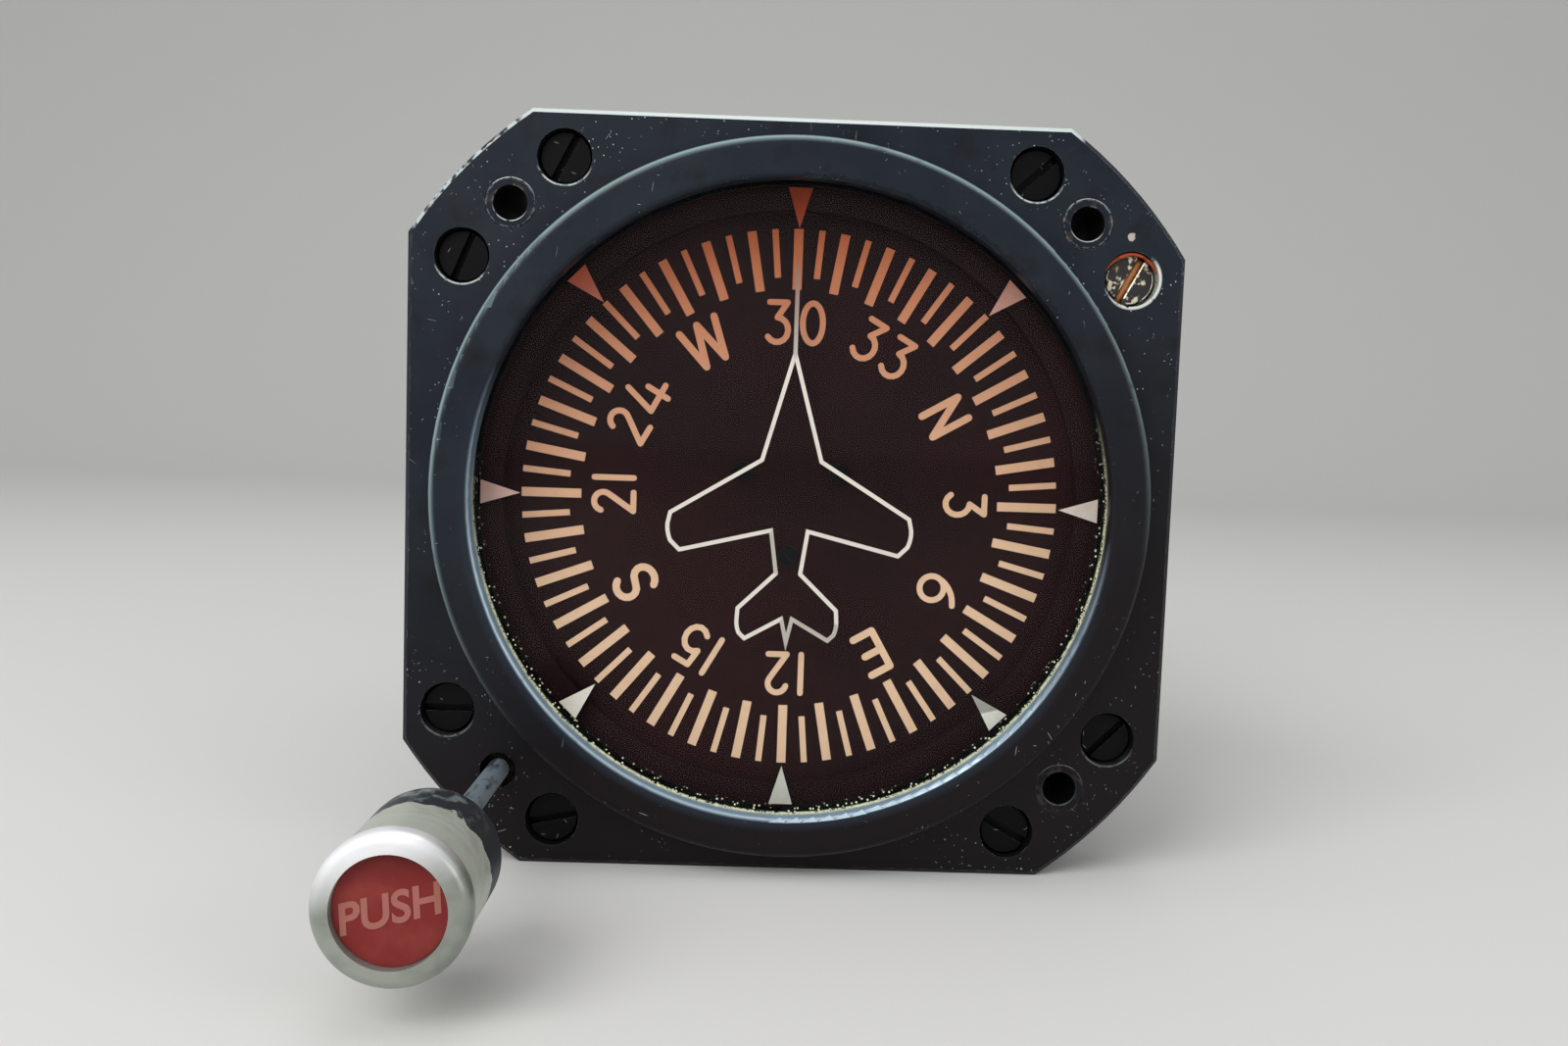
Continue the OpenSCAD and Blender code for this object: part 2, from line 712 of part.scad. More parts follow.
module card_bearings() {
    color("#9aa0a6") for (y = [boss_y, boss_back - bearing_w])
        y_ring(card_bearing_r, card_shaft_d / 2 + running, y, y + bearing_w);
}

card_bearing_r = 5;

// Straight bevel gear with its heel at z = 0 and its cone's tip above it
module bevel_teeth_ring(turn) {
    inner = bevel_r - 2 * bevel_face;
    difference() {
        rotate(turn) linear_extrude(height = bevel_face, scale = (bevel_r - bevel_face) / bevel_r)
            polygon(gear_points(bevel_teeth, bevel_r, bevel_add, bevel_ded, bevel_tooth));
        translate([0, 0, -over]) cylinder(r = inner, h = bevel_face + 2 * over);
    }
}

module bevel_gear(turn, hub_h, hub_r, bore) {
    difference() {
        union() {
            bevel_teeth_ring(turn);
            translate([0, 0, -bevel_back_t]) cylinder(r = bevel_web_r, h = bevel_back_t);
            translate([0, 0, -bevel_back_t - hub_h[0]])
                cylinder(r = hub_r, h = bevel_back_t + hub_h[0] + hub_h[1]);
        }
        translate([0, 0, -bevel_back_t - hub_h[0] - over])
            cylinder(r = bore, h = bevel_back_t + hub_h[0] + hub_h[1] + 2 * over);
    }
}

module card_bevel_gear() {
    color("#c9a45c") translate([0, heel_y, 0]) rotate([-90, 0, 0])
        bevel_gear(0, [bevel_hub, 0], trunnion_r, card_shaft_d / 2);
}

// Frame that carries the card and the gyro inside the case

plate_hole_r = 8;
plate_hole_at = 21;
boss_r = 7.5;
boss_hole_gap = 1;

// The frame's round plate with its ear towards the knob
module frame_outline() {
    circle(r = plate_r);
    rotate(-knob_corner) {
        translate([0, -ear_r]) square([shaft_rho, 2 * ear_r]);
        translate([shaft_rho, 0]) circle(r = ear_r);
    }
}

module gyro_frame() {
    color("#8d9094") difference() {
        union() {
            difference() {
                y_plate(plate_y, plate_back) frame_outline();
                for (a = [0, 90, 180]) rotate([0, -a, 0]) translate([plate_hole_at, 0, 0])
                    y_cyl(plate_hole_r, plate_y - over, plate_back + over);
            }
            y_cyl(boss_r, boss_y, boss_back);
            to_knob() for (s = [-1, 1])
                translate([lever_rho - lug_in, plate_back - over, s > 0 ? lug_face : -lug_face - lug_t])
                    cube([lug_in + lug_out, lever_stand + lug_in + over, lug_t]);
            for (s = [-1, 1]) translate([-arm_w / 2, plate_back - over, s > 0 ? arm_z : -arm_z - arm_t])
                cube([arm_w, gimbal_y + arm_w / 2 - plate_back + over, arm_t]);
        }
        y_cyl(card_bearing_r, boss_y - over, boss_y + bearing_w);
        y_cyl(card_bearing_r, boss_back - bearing_w, boss_back + over);
        y_cyl(card_shaft_d / 2 + boss_hole_gap, boss_y, boss_back);
        to_knob() {
            y_cyl(shaft_r + running, plate_y - over, plate_back + over, shaft_rho);
            y_cyl(stud_r, plate_y - over, plate_back + over, set_rho);
            translate([lever_rho, lever_y, -lever_pin_end - over])
                cylinder(r = lever_pin_r, h = 2 * (lever_pin_end + over));
        }
        at_gyro() for (s = [-1, 1]) z_cyl_signed(gimbal_bearing_r, s, arm_z - over, arm_z + arm_t + over);
        frame_screw_places()
            x_cyl(frame_screw_r, plate_r - frame_screw_grip - thread_tail, plate_r + over);
    }
}

// A cylinder along Z on the upper or lower side
module z_cyl_signed(r, s, z0, z1) {
    if (s > 0) z_cyl(r, z0, z1);
    else z_cyl(r, -z1, -z0);
}

frame_screw_r = 1.25;
frame_screw_head_r = 2.4;
frame_screw_head = 1.3;
frame_screw_grip = 4.5;
frame_screw_slot = 0.6;

module frame_screw_places() {
    for (a = [60, 180, 300]) rotate([0, -a, 0]) translate([0, (plate_y + plate_back) / 2, 0]) children();
}

module frame_screws() {
    color("#54565a") frame_screw_places() difference() {
        union() {
            x_cyl(frame_screw_r, plate_r - frame_screw_grip, case_r);
            x_cyl(frame_screw_head_r, case_r, case_r + frame_screw_head);
        }
        translate([case_r + frame_screw_head, 0, 0])
            cube([2 * frame_screw_slot, slot_w, 2 * frame_screw_head_r + over], center = true);
    }
}

// Setting train

stud_r = 1.2;
stud_head_r = 2.2;
stud_head = 0.7;
stud_collar_r = 2.4;

module set_gear() {
    color("#c9a45c") to_knob() difference() {
        translate([set_rho, 0, 0]) y_plate(gear_y, gear_back) rotate(180 + 180 / set_teeth)
            polygon(gear_points(set_teeth, set_gear_r, spur_add, spur_ded, spur_teeth));
        y_cyl(stud_r + running, gear_y - over, gear_back + over, set_rho);
    }
}

module set_gear_stud() {
    color("#b5b8bb") to_knob() {
        y_cyl(stud_r, gear_y - play - eps, plate_back, set_rho);
        y_cyl(stud_head_r, gear_y - play - stud_head, gear_y - play, set_rho);
        y_cyl(stud_collar_r, gear_back + play, plate_y, set_rho);
    }
}

shaft_hole_gap = 0.8;
bushing_wall = 1.8;
bushing_y = 0.4;
bushing_seat_r = shaft_r + bushing_wall;
seal_r = 0.6;
seal_y = 4.2;

module shaft_bushing() {
    color("#b08d4a") difference() {
        y_cyl(bushing_seat_r, bushing_y, bushing_back, shaft_x, shaft_z);
        y_cyl(shaft_r + running, bushing_y - over, bushing_back + over, shaft_x, shaft_z);
        y_cyl(shaft_r + running + 2 * seal_r, seal_y - seal_r, seal_y + seal_r, shaft_x, shaft_z);
    }
}

module shaft_seal() {
    color("#141414") translate([shaft_x, seal_y, shaft_z]) rotate([-90, 0, 0])
        rotate_extrude() translate([shaft_r + running + seal_r, 0]) circle(r = seal_r - running, $fn = 24);
}

module setting_pinion() {
    color("#c9a45c") to_knob() difference() {
        translate([shaft_rho, 0, 0]) y_plate(pinion_y, pinion_y + pinion_w) rotate(180)
            polygon(gear_points(pinion_teeth, pinion_r, spur_add, spur_ded, spur_teeth));
        y_cyl(shaft_r, pinion_y - over, pinion_y + pinion_w + over, shaft_rho);
    }
}

washer_y = pinion_y + pinion_w + play;
washer_t = 0.5;
washer_wall = 1.2;
washer_r = shaft_r + washer_wall;
spring_gap = 0.65; // from the shaft to the middle of the spring's wire

module spring_washer() {
    color("#a7abae") y_ring(washer_r, shaft_r + running, washer_y, washer_y + washer_t, shaft_x, shaft_z);
}

// Round wire wound from the washer to the frame's ear
module return_spring() {
    wire_r = spring_wire_d / 2;
    coil_r = shaft_r + spring_gap;
    y0 = washer_y + washer_t + wire_r;
    y1 = plate_y - wire_r;
    per_turn = 14;
    sides = 6;
    n = per_turn * spring_turns;
    function centre(i) = let (a = 360 * i / per_turn)
        [coil_r * cos(a), y0 + (y1 - y0) * i / n, coil_r * sin(a)];
    function rim(i, k) = let (a = 360 * i / per_turn, b = 360 * k / sides)
        centre(i) + wire_r * [cos(a) * cos(b), sin(b), sin(a) * cos(b)];
    points = [for (i = [0:n], k = [0:sides - 1]) rim(i, k)];
    walls = [for (i = [0:n - 1], k = [0:sides - 1]) let (k1 = (k + 1) % sides)
        [i * sides + k, i * sides + k1, (i + 1) * sides + k1, (i + 1) * sides + k]];
    ends = [[for (k = [sides - 1:-1:0]) k], [for (k = [0:sides - 1]) n * sides + k]];
    tris = [for (w = walls) each [[w[0], w[1], w[2]], [w[0], w[2], w[3]]]];
    color("#7d8084") translate([shaft_x, 0, shaft_z])
        polyhedron(points, concat(tris, [for (e = ends) for (k = [1:sides - 2]) [e[0], e[k], e[k + 1]]]));
}

shaft_nose = 1;
shaft_taper = 0.5;

module knob_shaft() {
    color("#a4a8a8") union() {
        y_cyl(shaft_r, knob_hole_y, shaft_end - shaft_nose, shaft_x, shaft_z);
        translate([shaft_x, shaft_end - shaft_nose - eps, shaft_z]) rotate([-90, 0, 0])
            cylinder(r1 = shaft_r, r2 = shaft_r - shaft_taper, h = shaft_nose + eps);
    }
}

// Knob

knob_front = -knob_standoff - knob_len;
knob_hole_end = 2.6;
knob_hole_y = knob_front + knob_hole_end;
knob_lip_len = 1.9;
knob_lip_round = 1;
knob_back_round = 2;
knob_face_t = 0.9;
knob_face_recess = 0.8;
knob_screw_r = 1.2;
knob_screw_at = 3.6;
knob_screw_y = -knob_standoff - knob_screw_at;
knob_screw_recess = 0.4;
knob_screw_slot = [0.5, 0.7];

// Half section of the knob: rounded lip at the front, rounded shoulder at the back
module knob_profile() {
    r = knob_d / 2;
    lip_r = r + knob_lip;
    shoulder = -knob_standoff - knob_back_round;
    difference() {
        translate([0, knob_front]) square([lip_r, knob_lip_len]);
        difference() {
            translate([lip_r - knob_lip_round, knob_front - over]) square(knob_lip_round + over);
            translate([lip_r - knob_lip_round, knob_front + knob_lip_round]) circle(r = knob_lip_round);
        }
    }
    polygon([[0, knob_front + knob_lip_len - eps], [r, knob_front + knob_lip_len - eps], [r, shoulder],
        [r - knob_back_round, shoulder], [r - knob_back_round, -knob_standoff], [0, -knob_standoff]]);
    intersection() {
        translate([r - knob_back_round, shoulder]) circle(r = knob_back_round);
        translate([r - knob_back_round - eps, shoulder - eps]) square(knob_back_round + over);
    }
}

module caging_knob() {
    r = knob_d / 2;
    recess = knob_face_recess + knob_face_t;
    color("#a9aba8") translate([shaft_x, 0, shaft_z]) difference() {
        rotate([-90, 0, 0]) rotate_extrude() knob_profile();
        y_cyl(knob_face_d / 2 + seat / 2, knob_front - over, knob_front + recess);
        y_cyl(shaft_r, knob_hole_y, -knob_standoff + over);
        translate([0, knob_screw_y, 0]) z_cyl(knob_screw_r, -r - over, 0);
    }
}

module knob_face() {
    color("#6b3b33") y_cyl(knob_face_d / 2, knob_front + knob_face_recess,
        knob_front + knob_face_recess + knob_face_t, shaft_x, shaft_z);
}

module knob_set_screw() {
    color("#3a3b3d") translate([shaft_x, knob_screw_y, shaft_z]) difference() {
        z_cyl(knob_screw_r, knob_screw_recess - knob_d / 2, -shaft_r);
        translate([0, 0, -knob_d / 2]) cube([2 * knob_screw_r + over, knob_screw_slot[0],
            2 * (knob_screw_recess + knob_screw_slot[1])], center = true);
    }
}

// Caging lever

module caging_lever() {
    color("#9b9fa3") to_knob() translate([lever_rho, lever_y, -lever_w / 2]) difference() {
        linear_extrude(lever_w) union() {
            circle(r = lever_hub_r);
            translate([0, -lever_face]) square([lever_reach, 2 * lever_face]);
            translate([-lever_finger_r, 0]) square([2 * lever_finger_r, lever_finger]);
            translate([0, lever_finger]) circle(r = lever_finger_r);
        }
        translate([0, 0, -over]) cylinder(r = lever_pin_r + running, h = lever_w + 2 * over);
    }
}

module lever_pin() {
    color("#c2c4c6") to_knob() translate([lever_rho, lever_y, -lever_pin_end])
        cylinder(r = lever_pin_r, h = 2 * lever_pin_end);
}

// Gyro

module outer_gimbal() {
    color("#b6b9bc") at_gyro() difference() {
        union() {
            y_ring(gimbal_r, gimbal_in_r, -gimbal_w / 2, gimbal_w / 2);
            for (s = [-1, 1]) {
                x_cyl_signed(small_boss_r, s, gimbal_in_r - small_boss_in, gimbal_r);
                z_cyl_signed(trunnion_r, s, gimbal_in_r + trunnion_in, gimbal_r + trunnion_out);
            }
        }
        for (s = [-1, 1]) {
            x_cyl_signed(small_bearing_r, s, gimbal_in_r - over, gimbal_r + over);
            z_cyl_signed(pivot_r, s, gimbal_in_r - over, gimbal_r + trunnion_out + over);
        }
    }
}

module x_cyl_signed(r, s, x0, x1) {
    if (s > 0) x_cyl(r, x0, x1);
    else x_cyl(r, -x1, -x0);
}

module gimbal_bevel_gear() {
    color("#c9a45c") at_gyro() translate([0, 0, -bevel_r])
        bevel_gear(180 / bevel_teeth, [0, bevel_r - gimbal_r - trunnion_out], trunnion_r, pivot_r);
}

module gimbal_pivots() {
    color("#c2c4c6") at_gyro() for (s = [-1, 1])
        z_cyl_signed(pivot_r, s, gimbal_in_r + pivot_inset, arm_z + arm_t - pivot_inset);
}

module gimbal_bearings() {
    color("#9aa0a6") at_gyro() for (s = [-1, 1]) difference() {
        z_cyl_signed(gimbal_bearing_r, s, gimbal_bearing_z, gimbal_bearing_z + gimbal_bearing_w);
        z_cyl_signed(pivot_r + running, s, arm_z - over, arm_z + arm_t + over);
    }
}

module rotor_frame() {
    color("#c4c7ca") at_gyro() difference() {
        union() {
            difference() {
                cylinder(r = frame_ring_r, h = frame_ring_w, center = true);
                cylinder(r = frame_ring_in_r, h = frame_ring_w + 2 * over, center = true);
            }
            for (s = [-1, 1]) y_cyl_signed(small_boss_r, s, frame_ring_in_r, frame_ring_r - pivot_inset);
        }
        for (s = [-1, 1]) {
            y_cyl_signed(small_bearing_r, s, frame_ring_in_r - over, frame_ring_in_r + small_bearing_w);
            x_cyl_signed(small_r, s, frame_ring_in_r - over, frame_ring_r + over);
        }
    }
}

module y_cyl_signed(r, s, y0, y1) {
    if (s > 0) y_cyl(r, y0, y1);
    else y_cyl(r, -y1, -y0);
}

module rotor_frame_pivots() {
    color("#c2c4c6") at_gyro() for (s = [-1, 1])
        x_cyl_signed(small_r, s, frame_ring_in_r + pivot_inset, gimbal_in_r + small_bearing_w - play);
}

module tilt_bearings() {
    color("#9aa0a6") at_gyro() for (s = [-1, 1]) difference() {
        x_cyl_signed(small_bearing_r, s, gimbal_in_r, gimbal_in_r + small_bearing_w);
        x_cyl_signed(small_r + running, s, gimbal_in_r - over, gimbal_in_r + small_bearing_w + over);
    }
}

rotor_rim = 2.6;
rotor_hub_r = 4;
rotor_dish = 2;
bucket_r = 1.1;
bucket_half = 1.8;

module rotor() {
    color("#8f8a7c") at_gyro() difference() {
        y_cyl(rotor_r, -rotor_w / 2, rotor_w / 2);
        y_cyl(small_r, -rotor_w, rotor_w);
        for (s = [-1, 1])
            y_ring(rotor_r - rotor_rim, rotor_hub_r,
                s * rotor_w / 2 - rotor_dish, s * rotor_w / 2 + rotor_dish);
        for (i = [0:rotor_pockets - 1]) rotate([0, 360 / rotor_pockets * i, 0])
            y_cyl(bucket_r, -bucket_half, bucket_half, rotor_r, 0);
    }
}

module rotor_axle() {
    axle_end = frame_ring_in_r + small_bearing_w - end_play;
    color("#c2c4c6") at_gyro() y_cyl(small_r, -axle_end, axle_end);
}

module rotor_bearings() {
    color("#9aa0a6") at_gyro() for (s = [-1, 1]) difference() {
        y_cyl_signed(small_bearing_r, s, frame_ring_in_r, frame_ring_in_r + small_bearing_w);
        y_cyl_signed(small_r + running, s, frame_ring_in_r - over,
            frame_ring_in_r + small_bearing_w + over);
    }
}

nut_r = 1.2;
nut_h = 1.6;

module balance_nuts() {
    ring_mid = frame_ring_r - frame_ring_wall / 2;
    color("#b08d4a") at_gyro() for (a = [45, 225]) rotate([0, 0, a])
        translate([ring_mid, 0, -frame_ring_w / 2 - nut_h]) cylinder(r = nut_r, h = nut_h, $fn = 6);
}

jet_gap = 1.1;
jet_l = 6;
jet_w = 4;
jet_bore_r = 0.6;
jet_bore_in = 1.2;

module air_jet() {
    jet_z = rotor_r + jet_gap;
    color("#b08d4a") at_gyro() difference() {
        intersection() {
            translate([-jet_l / 2, -jet_w / 2, jet_z]) cube([jet_l, jet_w, gimbal_in_r - jet_z + over]);
            y_cyl(gimbal_in_r, -jet_w, jet_w);
        }
        translate([0, 0, jet_z + jet_bore_in]) rotate([0, 60, 0])
            cylinder(r = jet_bore_r, h = 2 * jet_l, center = true);
    }
}

// Case and rear

// A lobe that runs out from the case along local x to the panel holes' circle
module case_lobe(r, y0, y1) {
    translate([lobe_root, y0, -r]) cube([shaft_rho - lobe_root, y1 - y0, 2 * r]);
    y_cyl(r, y0, y1, shaft_rho);
}

set_gear_gap = 0.3;
rear_screw_r = 1.25;
rear_screw_at = (bore_r + rear_r) / 2;
rear_screw_head_r = 2;
rear_screw_head = 1.4;
rear_screw_slot = [0.6, 0.7];

module rear_screw_places() {
    for (a = [30:60:330]) rotate([0, -a, 0]) translate([rear_screw_at, 0, 0]) children();
}

module case_body() {
    color("#1f2124") difference() {
        union() {
            flange_block(case_y, case_flange_back);
            y_cyl(case_r, case_y, case_end, $fn = 96);
            y_cyl(rear_r, case_end - rear_flange_t, case_end, $fn = 96);
            to_knob() case_lobe(lobe_r, case_y, pocket_back + lobe_cap);
            for (turn = LUG_TURNS) rotate([0, turn, 0]) case_lobe(lug_r, case_y, lug_back);
        }
        y_cyl(bore_r, case_y - over, case_end + over, $fn = 96);
        to_knob() case_lobe(pocket_r, case_y - over, pocket_back);
        to_knob()
            y_cyl(set_gear_r + spur_add + set_gear_gap, case_y - over, plate_y - set_gear_gap, set_rho);
        for (s = concat(SCREWS, [SEALED])) {
            p = screw_xz(s);
            y_cyl(screw_d / 2, case_y - over, case_flange_back + over, p[0], p[1]);
        }
        panel_holes(bushing_r, case_y - over, lug_back + over);
        frame_screw_places() x_cyl(frame_screw_r, bore_r - over, case_r + over);
        rear_screw_places() y_cyl(rear_screw_r, case_end - rear_flange_t - over, case_end + over);
    }
}

module bezel_gasket() {
    color("#26211c") difference() {
        flange_block(flange_t, case_y);
        y_cyl(bore_r, flange_t - over, case_y + over);
        to_knob() case_lobe(pocket_r, flange_t - over, case_y + over);
        for (s = concat(SCREWS, [SEALED])) {
            p = screw_xz(s);
            y_cyl(screw_d / 2 + seat, flange_t - over, case_y + over, p[0], p[1]);
        }
        panel_holes(bushing_r, flange_t - over, case_y + over);
    }
}

module bezel_screw(s) {
    p = screw_xz(s);
    slotted_screw(p[0], p[1], screw_recess, counterbore_depth, case_flange_back - thread_tail,
        screw_head_d / 2, screw_d / 2, slot_w, slot_depth, s[3]);
}

module bezel_screws() {
    color("#141416") for (s = SCREWS) bezel_screw(s);
}

module sealed_screw() {
    color("#a08a68") bezel_screw(SEALED);
}

module rear_cover() {
    color("#1f2124") difference() {
        y_cyl(rear_r, cover_y, cover_back, $fn = 96);
        rear_screw_places() y_cyl(rear_screw_r + seat, cover_y - over, cover_back + over);
        y_cyl(port_spigot_r, cover_y - over, cover_back + over, port_offset, -port_offset);
        for (s = [-1, 1])
            y_cyl(inlet_r, cover_y - over, cover_back + over, -filter_offset + s * inlet_at, filter_offset);
        y_cyl(filter_screw_r, cover_y - over, cover_back + over, -filter_offset, filter_offset);
    }
}

module rear_gasket() {
    color("#26211c") difference() {
        y_ring(rear_r, bore_r, case_end, cover_y);
        rear_screw_places() y_cyl(rear_screw_r + seat, case_end - over, cover_y + over);
    }
}

module rear_screws() {
    color("#54565a") rear_screw_places() translate([0, cover_back, 0]) rotate([0, 0, 180])
        slotted_screw(0, 0, -rear_screw_head, 0, rear_flange_t + gasket_t + cover_t - thread_tail,
            rear_screw_head_r, rear_screw_r, rear_screw_slot[0], rear_screw_slot[1], 25);
}

port_wall = 1.2;
port_spigot_r = port_r + port_wall;
port_spigot_in = 2;
port_hex_r = 9.2;
port_step = 1.4;
inlet_r = 3;
inlet_at = 6;
filter_screw_r = 1.4;
filter_screw_head_r = 2.6;
filter_screw_head = 1.6;
filter_screw_slot = [0.7, 0.8];
filter_wall = 1.2;
filter_top = 1.4;
filter_hole_r = 1.3;
filter_hole_at = 0.66;
filter_holes = 10;

module vacuum_port() {
    color("#b08d4a") difference() {
        union() {
            y_cyl(port_spigot_r, cover_y - port_spigot_in, cover_back + eps, port_offset, -port_offset);
            translate([port_offset, cover_back, -port_offset]) rotate([-90, 0, 0])
                cylinder(r = port_hex_r, h = port_len, $fn = 6);
        }
        y_cyl(port_r, cover_y, cover_back + port_len + over, port_offset, -port_offset);
        y_cyl(port_r - port_step, cover_y - port_spigot_in - over, cover_y + over,
            port_offset, -port_offset);
    }
}

module filter_cap() {
    r = filter_cap_d / 2;
    color("#26282b") translate([-filter_offset, cover_back, filter_offset]) difference() {
        y_cyl(r, 0, filter_cap_h);
        y_cyl(r - filter_wall, -over, filter_cap_h - filter_top);
        y_cyl(filter_screw_r + seat, 0, filter_cap_h + over);
        for (i = [0:filter_holes - 1]) rotate([0, 360 / filter_holes * i, 0])
            y_cyl(filter_hole_r, 0, filter_cap_h + over, r * filter_hole_at, 0);
    }
}

module filter_element() {
    color("#d8d2c2") translate([-filter_offset, cover_back, filter_offset])
        y_ring(filter_cap_d / 2 - filter_wall - seat, filter_screw_r + seat, 0,
            filter_cap_h - filter_top - seat);
}

module filter_screw() {
    color("#54565a") translate([-filter_offset, cover_back, filter_offset]) rotate([0, 0, 180])
        slotted_screw(0, 0, -filter_cap_h - filter_screw_head, -filter_cap_h, cover_t - thread_tail,
            filter_screw_head_r, filter_screw_r, filter_screw_slot[0], filter_screw_slot[1], 60);
}

plate_y0 = 46;
plate_len = 28;
data_plate_t = 0.4;
data_plate_half = 17;
rivet_r = 0.9;
rivet_h = 0.5;
rivet_inset = 2.5;

module data_plate() {
    color("#b9bcbe") intersection() {
        y_ring(case_r + data_plate_t, case_r, plate_y0, plate_y0 + plate_len, $fn = 96);
        translate([-data_plate_half, plate_y0, 0]) cube([2 * data_plate_half, plate_len, case_r + over]);
    }
}

module plate_rivets() {
    turn = asin((data_plate_half - rivet_inset) / case_r);
    color("#b9bcbe") for (a = [90 - turn, 90 + turn], y = [rivet_inset, plate_len - rivet_inset])
        translate([0, plate_y0 + y, 0]) rotate([0, -a, 0])
            x_cyl(rivet_r, case_r + data_plate_t, case_r + data_plate_t + rivet_h);
}

front_bezel();
mount_bushings();
cover_glass();
index_marks();
aeroplane_symbol();
glass_gasket();
retainer_ring();
compass_card();
card_markings();
card_screws();
card_hub();
card_gear();
card_shaft();
card_bearings();
card_bevel_gear();
gyro_frame();
frame_screws();
set_gear();
set_gear_stud();
outer_gimbal();
gimbal_bevel_gear();
gimbal_pivots();
gimbal_bearings();
rotor_frame();
rotor_frame_pivots();
tilt_bearings();
rotor();
rotor_axle();
rotor_bearings();
balance_nuts();
air_jet();
caging_knob();
knob_face();
knob_set_screw();
knob_shaft();
setting_pinion();
shaft_bushing();
shaft_seal();
spring_washer();
return_spring();
caging_lever();
lever_pin();
case_body();
bezel_gasket();
bezel_screws();
sealed_screw();
rear_cover();
rear_gasket();
rear_screws();
vacuum_port();
filter_element();
filter_cap();
filter_screw();
data_plate();
plate_rivets();
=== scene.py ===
"""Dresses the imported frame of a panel-mounted directional gyro indicator.

The frame is in metres: its origin is the centre of the flange's front face, the dial looks along -Y
and +Z is up. Sizes in this file are real millimetres, and MM turns them into the frame's metres.
"""

from __future__ import annotations

import json
import logging
import math
from dataclasses import dataclass
from enum import Enum
from typing import Any, Iterable, Sequence, Union

import bmesh
import bpy
from mathutils import Matrix, Vector

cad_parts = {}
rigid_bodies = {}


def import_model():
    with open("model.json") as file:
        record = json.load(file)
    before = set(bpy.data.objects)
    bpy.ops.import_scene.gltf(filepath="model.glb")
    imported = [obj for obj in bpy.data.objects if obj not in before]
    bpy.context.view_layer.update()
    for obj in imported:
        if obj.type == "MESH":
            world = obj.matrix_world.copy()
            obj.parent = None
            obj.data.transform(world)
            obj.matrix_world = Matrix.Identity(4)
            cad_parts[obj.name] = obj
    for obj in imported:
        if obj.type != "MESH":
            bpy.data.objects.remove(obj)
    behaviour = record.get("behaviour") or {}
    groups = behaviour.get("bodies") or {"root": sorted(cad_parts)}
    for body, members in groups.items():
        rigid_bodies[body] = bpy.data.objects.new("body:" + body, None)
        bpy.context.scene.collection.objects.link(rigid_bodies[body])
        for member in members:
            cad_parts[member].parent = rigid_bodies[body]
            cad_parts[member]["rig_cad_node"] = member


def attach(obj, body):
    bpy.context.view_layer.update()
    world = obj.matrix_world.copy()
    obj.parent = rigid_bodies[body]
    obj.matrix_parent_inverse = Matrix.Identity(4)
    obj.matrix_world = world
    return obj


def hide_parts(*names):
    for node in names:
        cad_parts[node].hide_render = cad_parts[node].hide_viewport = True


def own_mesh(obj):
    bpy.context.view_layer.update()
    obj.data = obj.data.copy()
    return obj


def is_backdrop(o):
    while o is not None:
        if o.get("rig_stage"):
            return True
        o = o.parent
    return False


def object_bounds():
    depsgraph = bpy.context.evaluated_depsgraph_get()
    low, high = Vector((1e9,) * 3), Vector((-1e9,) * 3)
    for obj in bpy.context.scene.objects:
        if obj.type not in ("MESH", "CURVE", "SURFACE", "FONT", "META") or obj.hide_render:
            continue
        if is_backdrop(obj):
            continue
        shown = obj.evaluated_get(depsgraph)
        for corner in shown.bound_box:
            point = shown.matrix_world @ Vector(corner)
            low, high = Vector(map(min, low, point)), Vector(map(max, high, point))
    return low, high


Pair = tuple[float, float]
Triple = tuple[float, float, float]
Socket = bpy.types.NodeSocket

MM = 0.001
TAU = 2 * math.pi
RIGHT: Triple = (1.0, 0.0, 0.0)
BACK: Triple = (0.0, 1.0, 0.0)
FRONT: Triple = (0.0, -1.0, 0.0)
UP: Triple = (0.0, 0.0, 1.0)
ONTO_DIAL: Triple = (1.0, 0.0, 1.0)  # factors that flatten a point onto the dial's plane
SEAM = 0.002  # how close the corners of neighbouring faces lie to be one corner
FLAT = math.radians(0.4)  # faces that meet at less are one face
SHARP = math.radians(35)  # edges that turn by more are broken
log = logging.getLogger("indicator")


class Body(Enum):
    """The bodies of the frame that new pieces ride on."""

    CASE = "case"
    KNOB = "knob"


class Cut(Enum):
    """How a metal surface was made, with the stretch of its marks along X, Y and Z."""

    TURNED = (0.06, 1.0, 0.06)
    GROUND = (1.0, 0.12, 1.0)
    CAST = (1.0, 1.0, 1.0)
    ROLLED = (0.08, 1.0, 1.0)


def linear(hex_colour: str) -> tuple[float, float, float, float]:
    """Turns an sRGB hex colour into linear light.

    Args:
        hex_colour: Six hex digits after a hash.

    Returns:
        Red, green, blue and alpha, from 0 to 1.
    """
    parts = [int(hex_colour[i : i + 2], 16) / 255 for i in (1, 3, 5)]
    light = [p / 12.92 if p <= 0.04045 else ((p + 0.055) / 1.055) ** 2.4 for p in parts]
    return (*light, 1.0)


def add_node(tree: bpy.types.NodeTree, kind: str, inputs: dict[int | str, Any] | None = None,
             **settings: Any) -> bpy.types.Node:
    """Adds one node with its settings and links.

    Args:
        tree: The tree that the node goes into.
        kind: Blender's name for the kind of node.
        inputs: A value, or the socket to link from, for each input by name or number.
        settings: The node's own properties.

    Returns:
        The new node.
    """
    node = tree.nodes.new(kind)
    for name, value in settings.items():
        setattr(node, name, value)
    for key, value in (inputs or {}).items():
        if isinstance(value, bpy.types.NodeSocket):
            tree.links.new(value, node.inputs[key])
        else:
            node.inputs[key].default_value = value
    return node


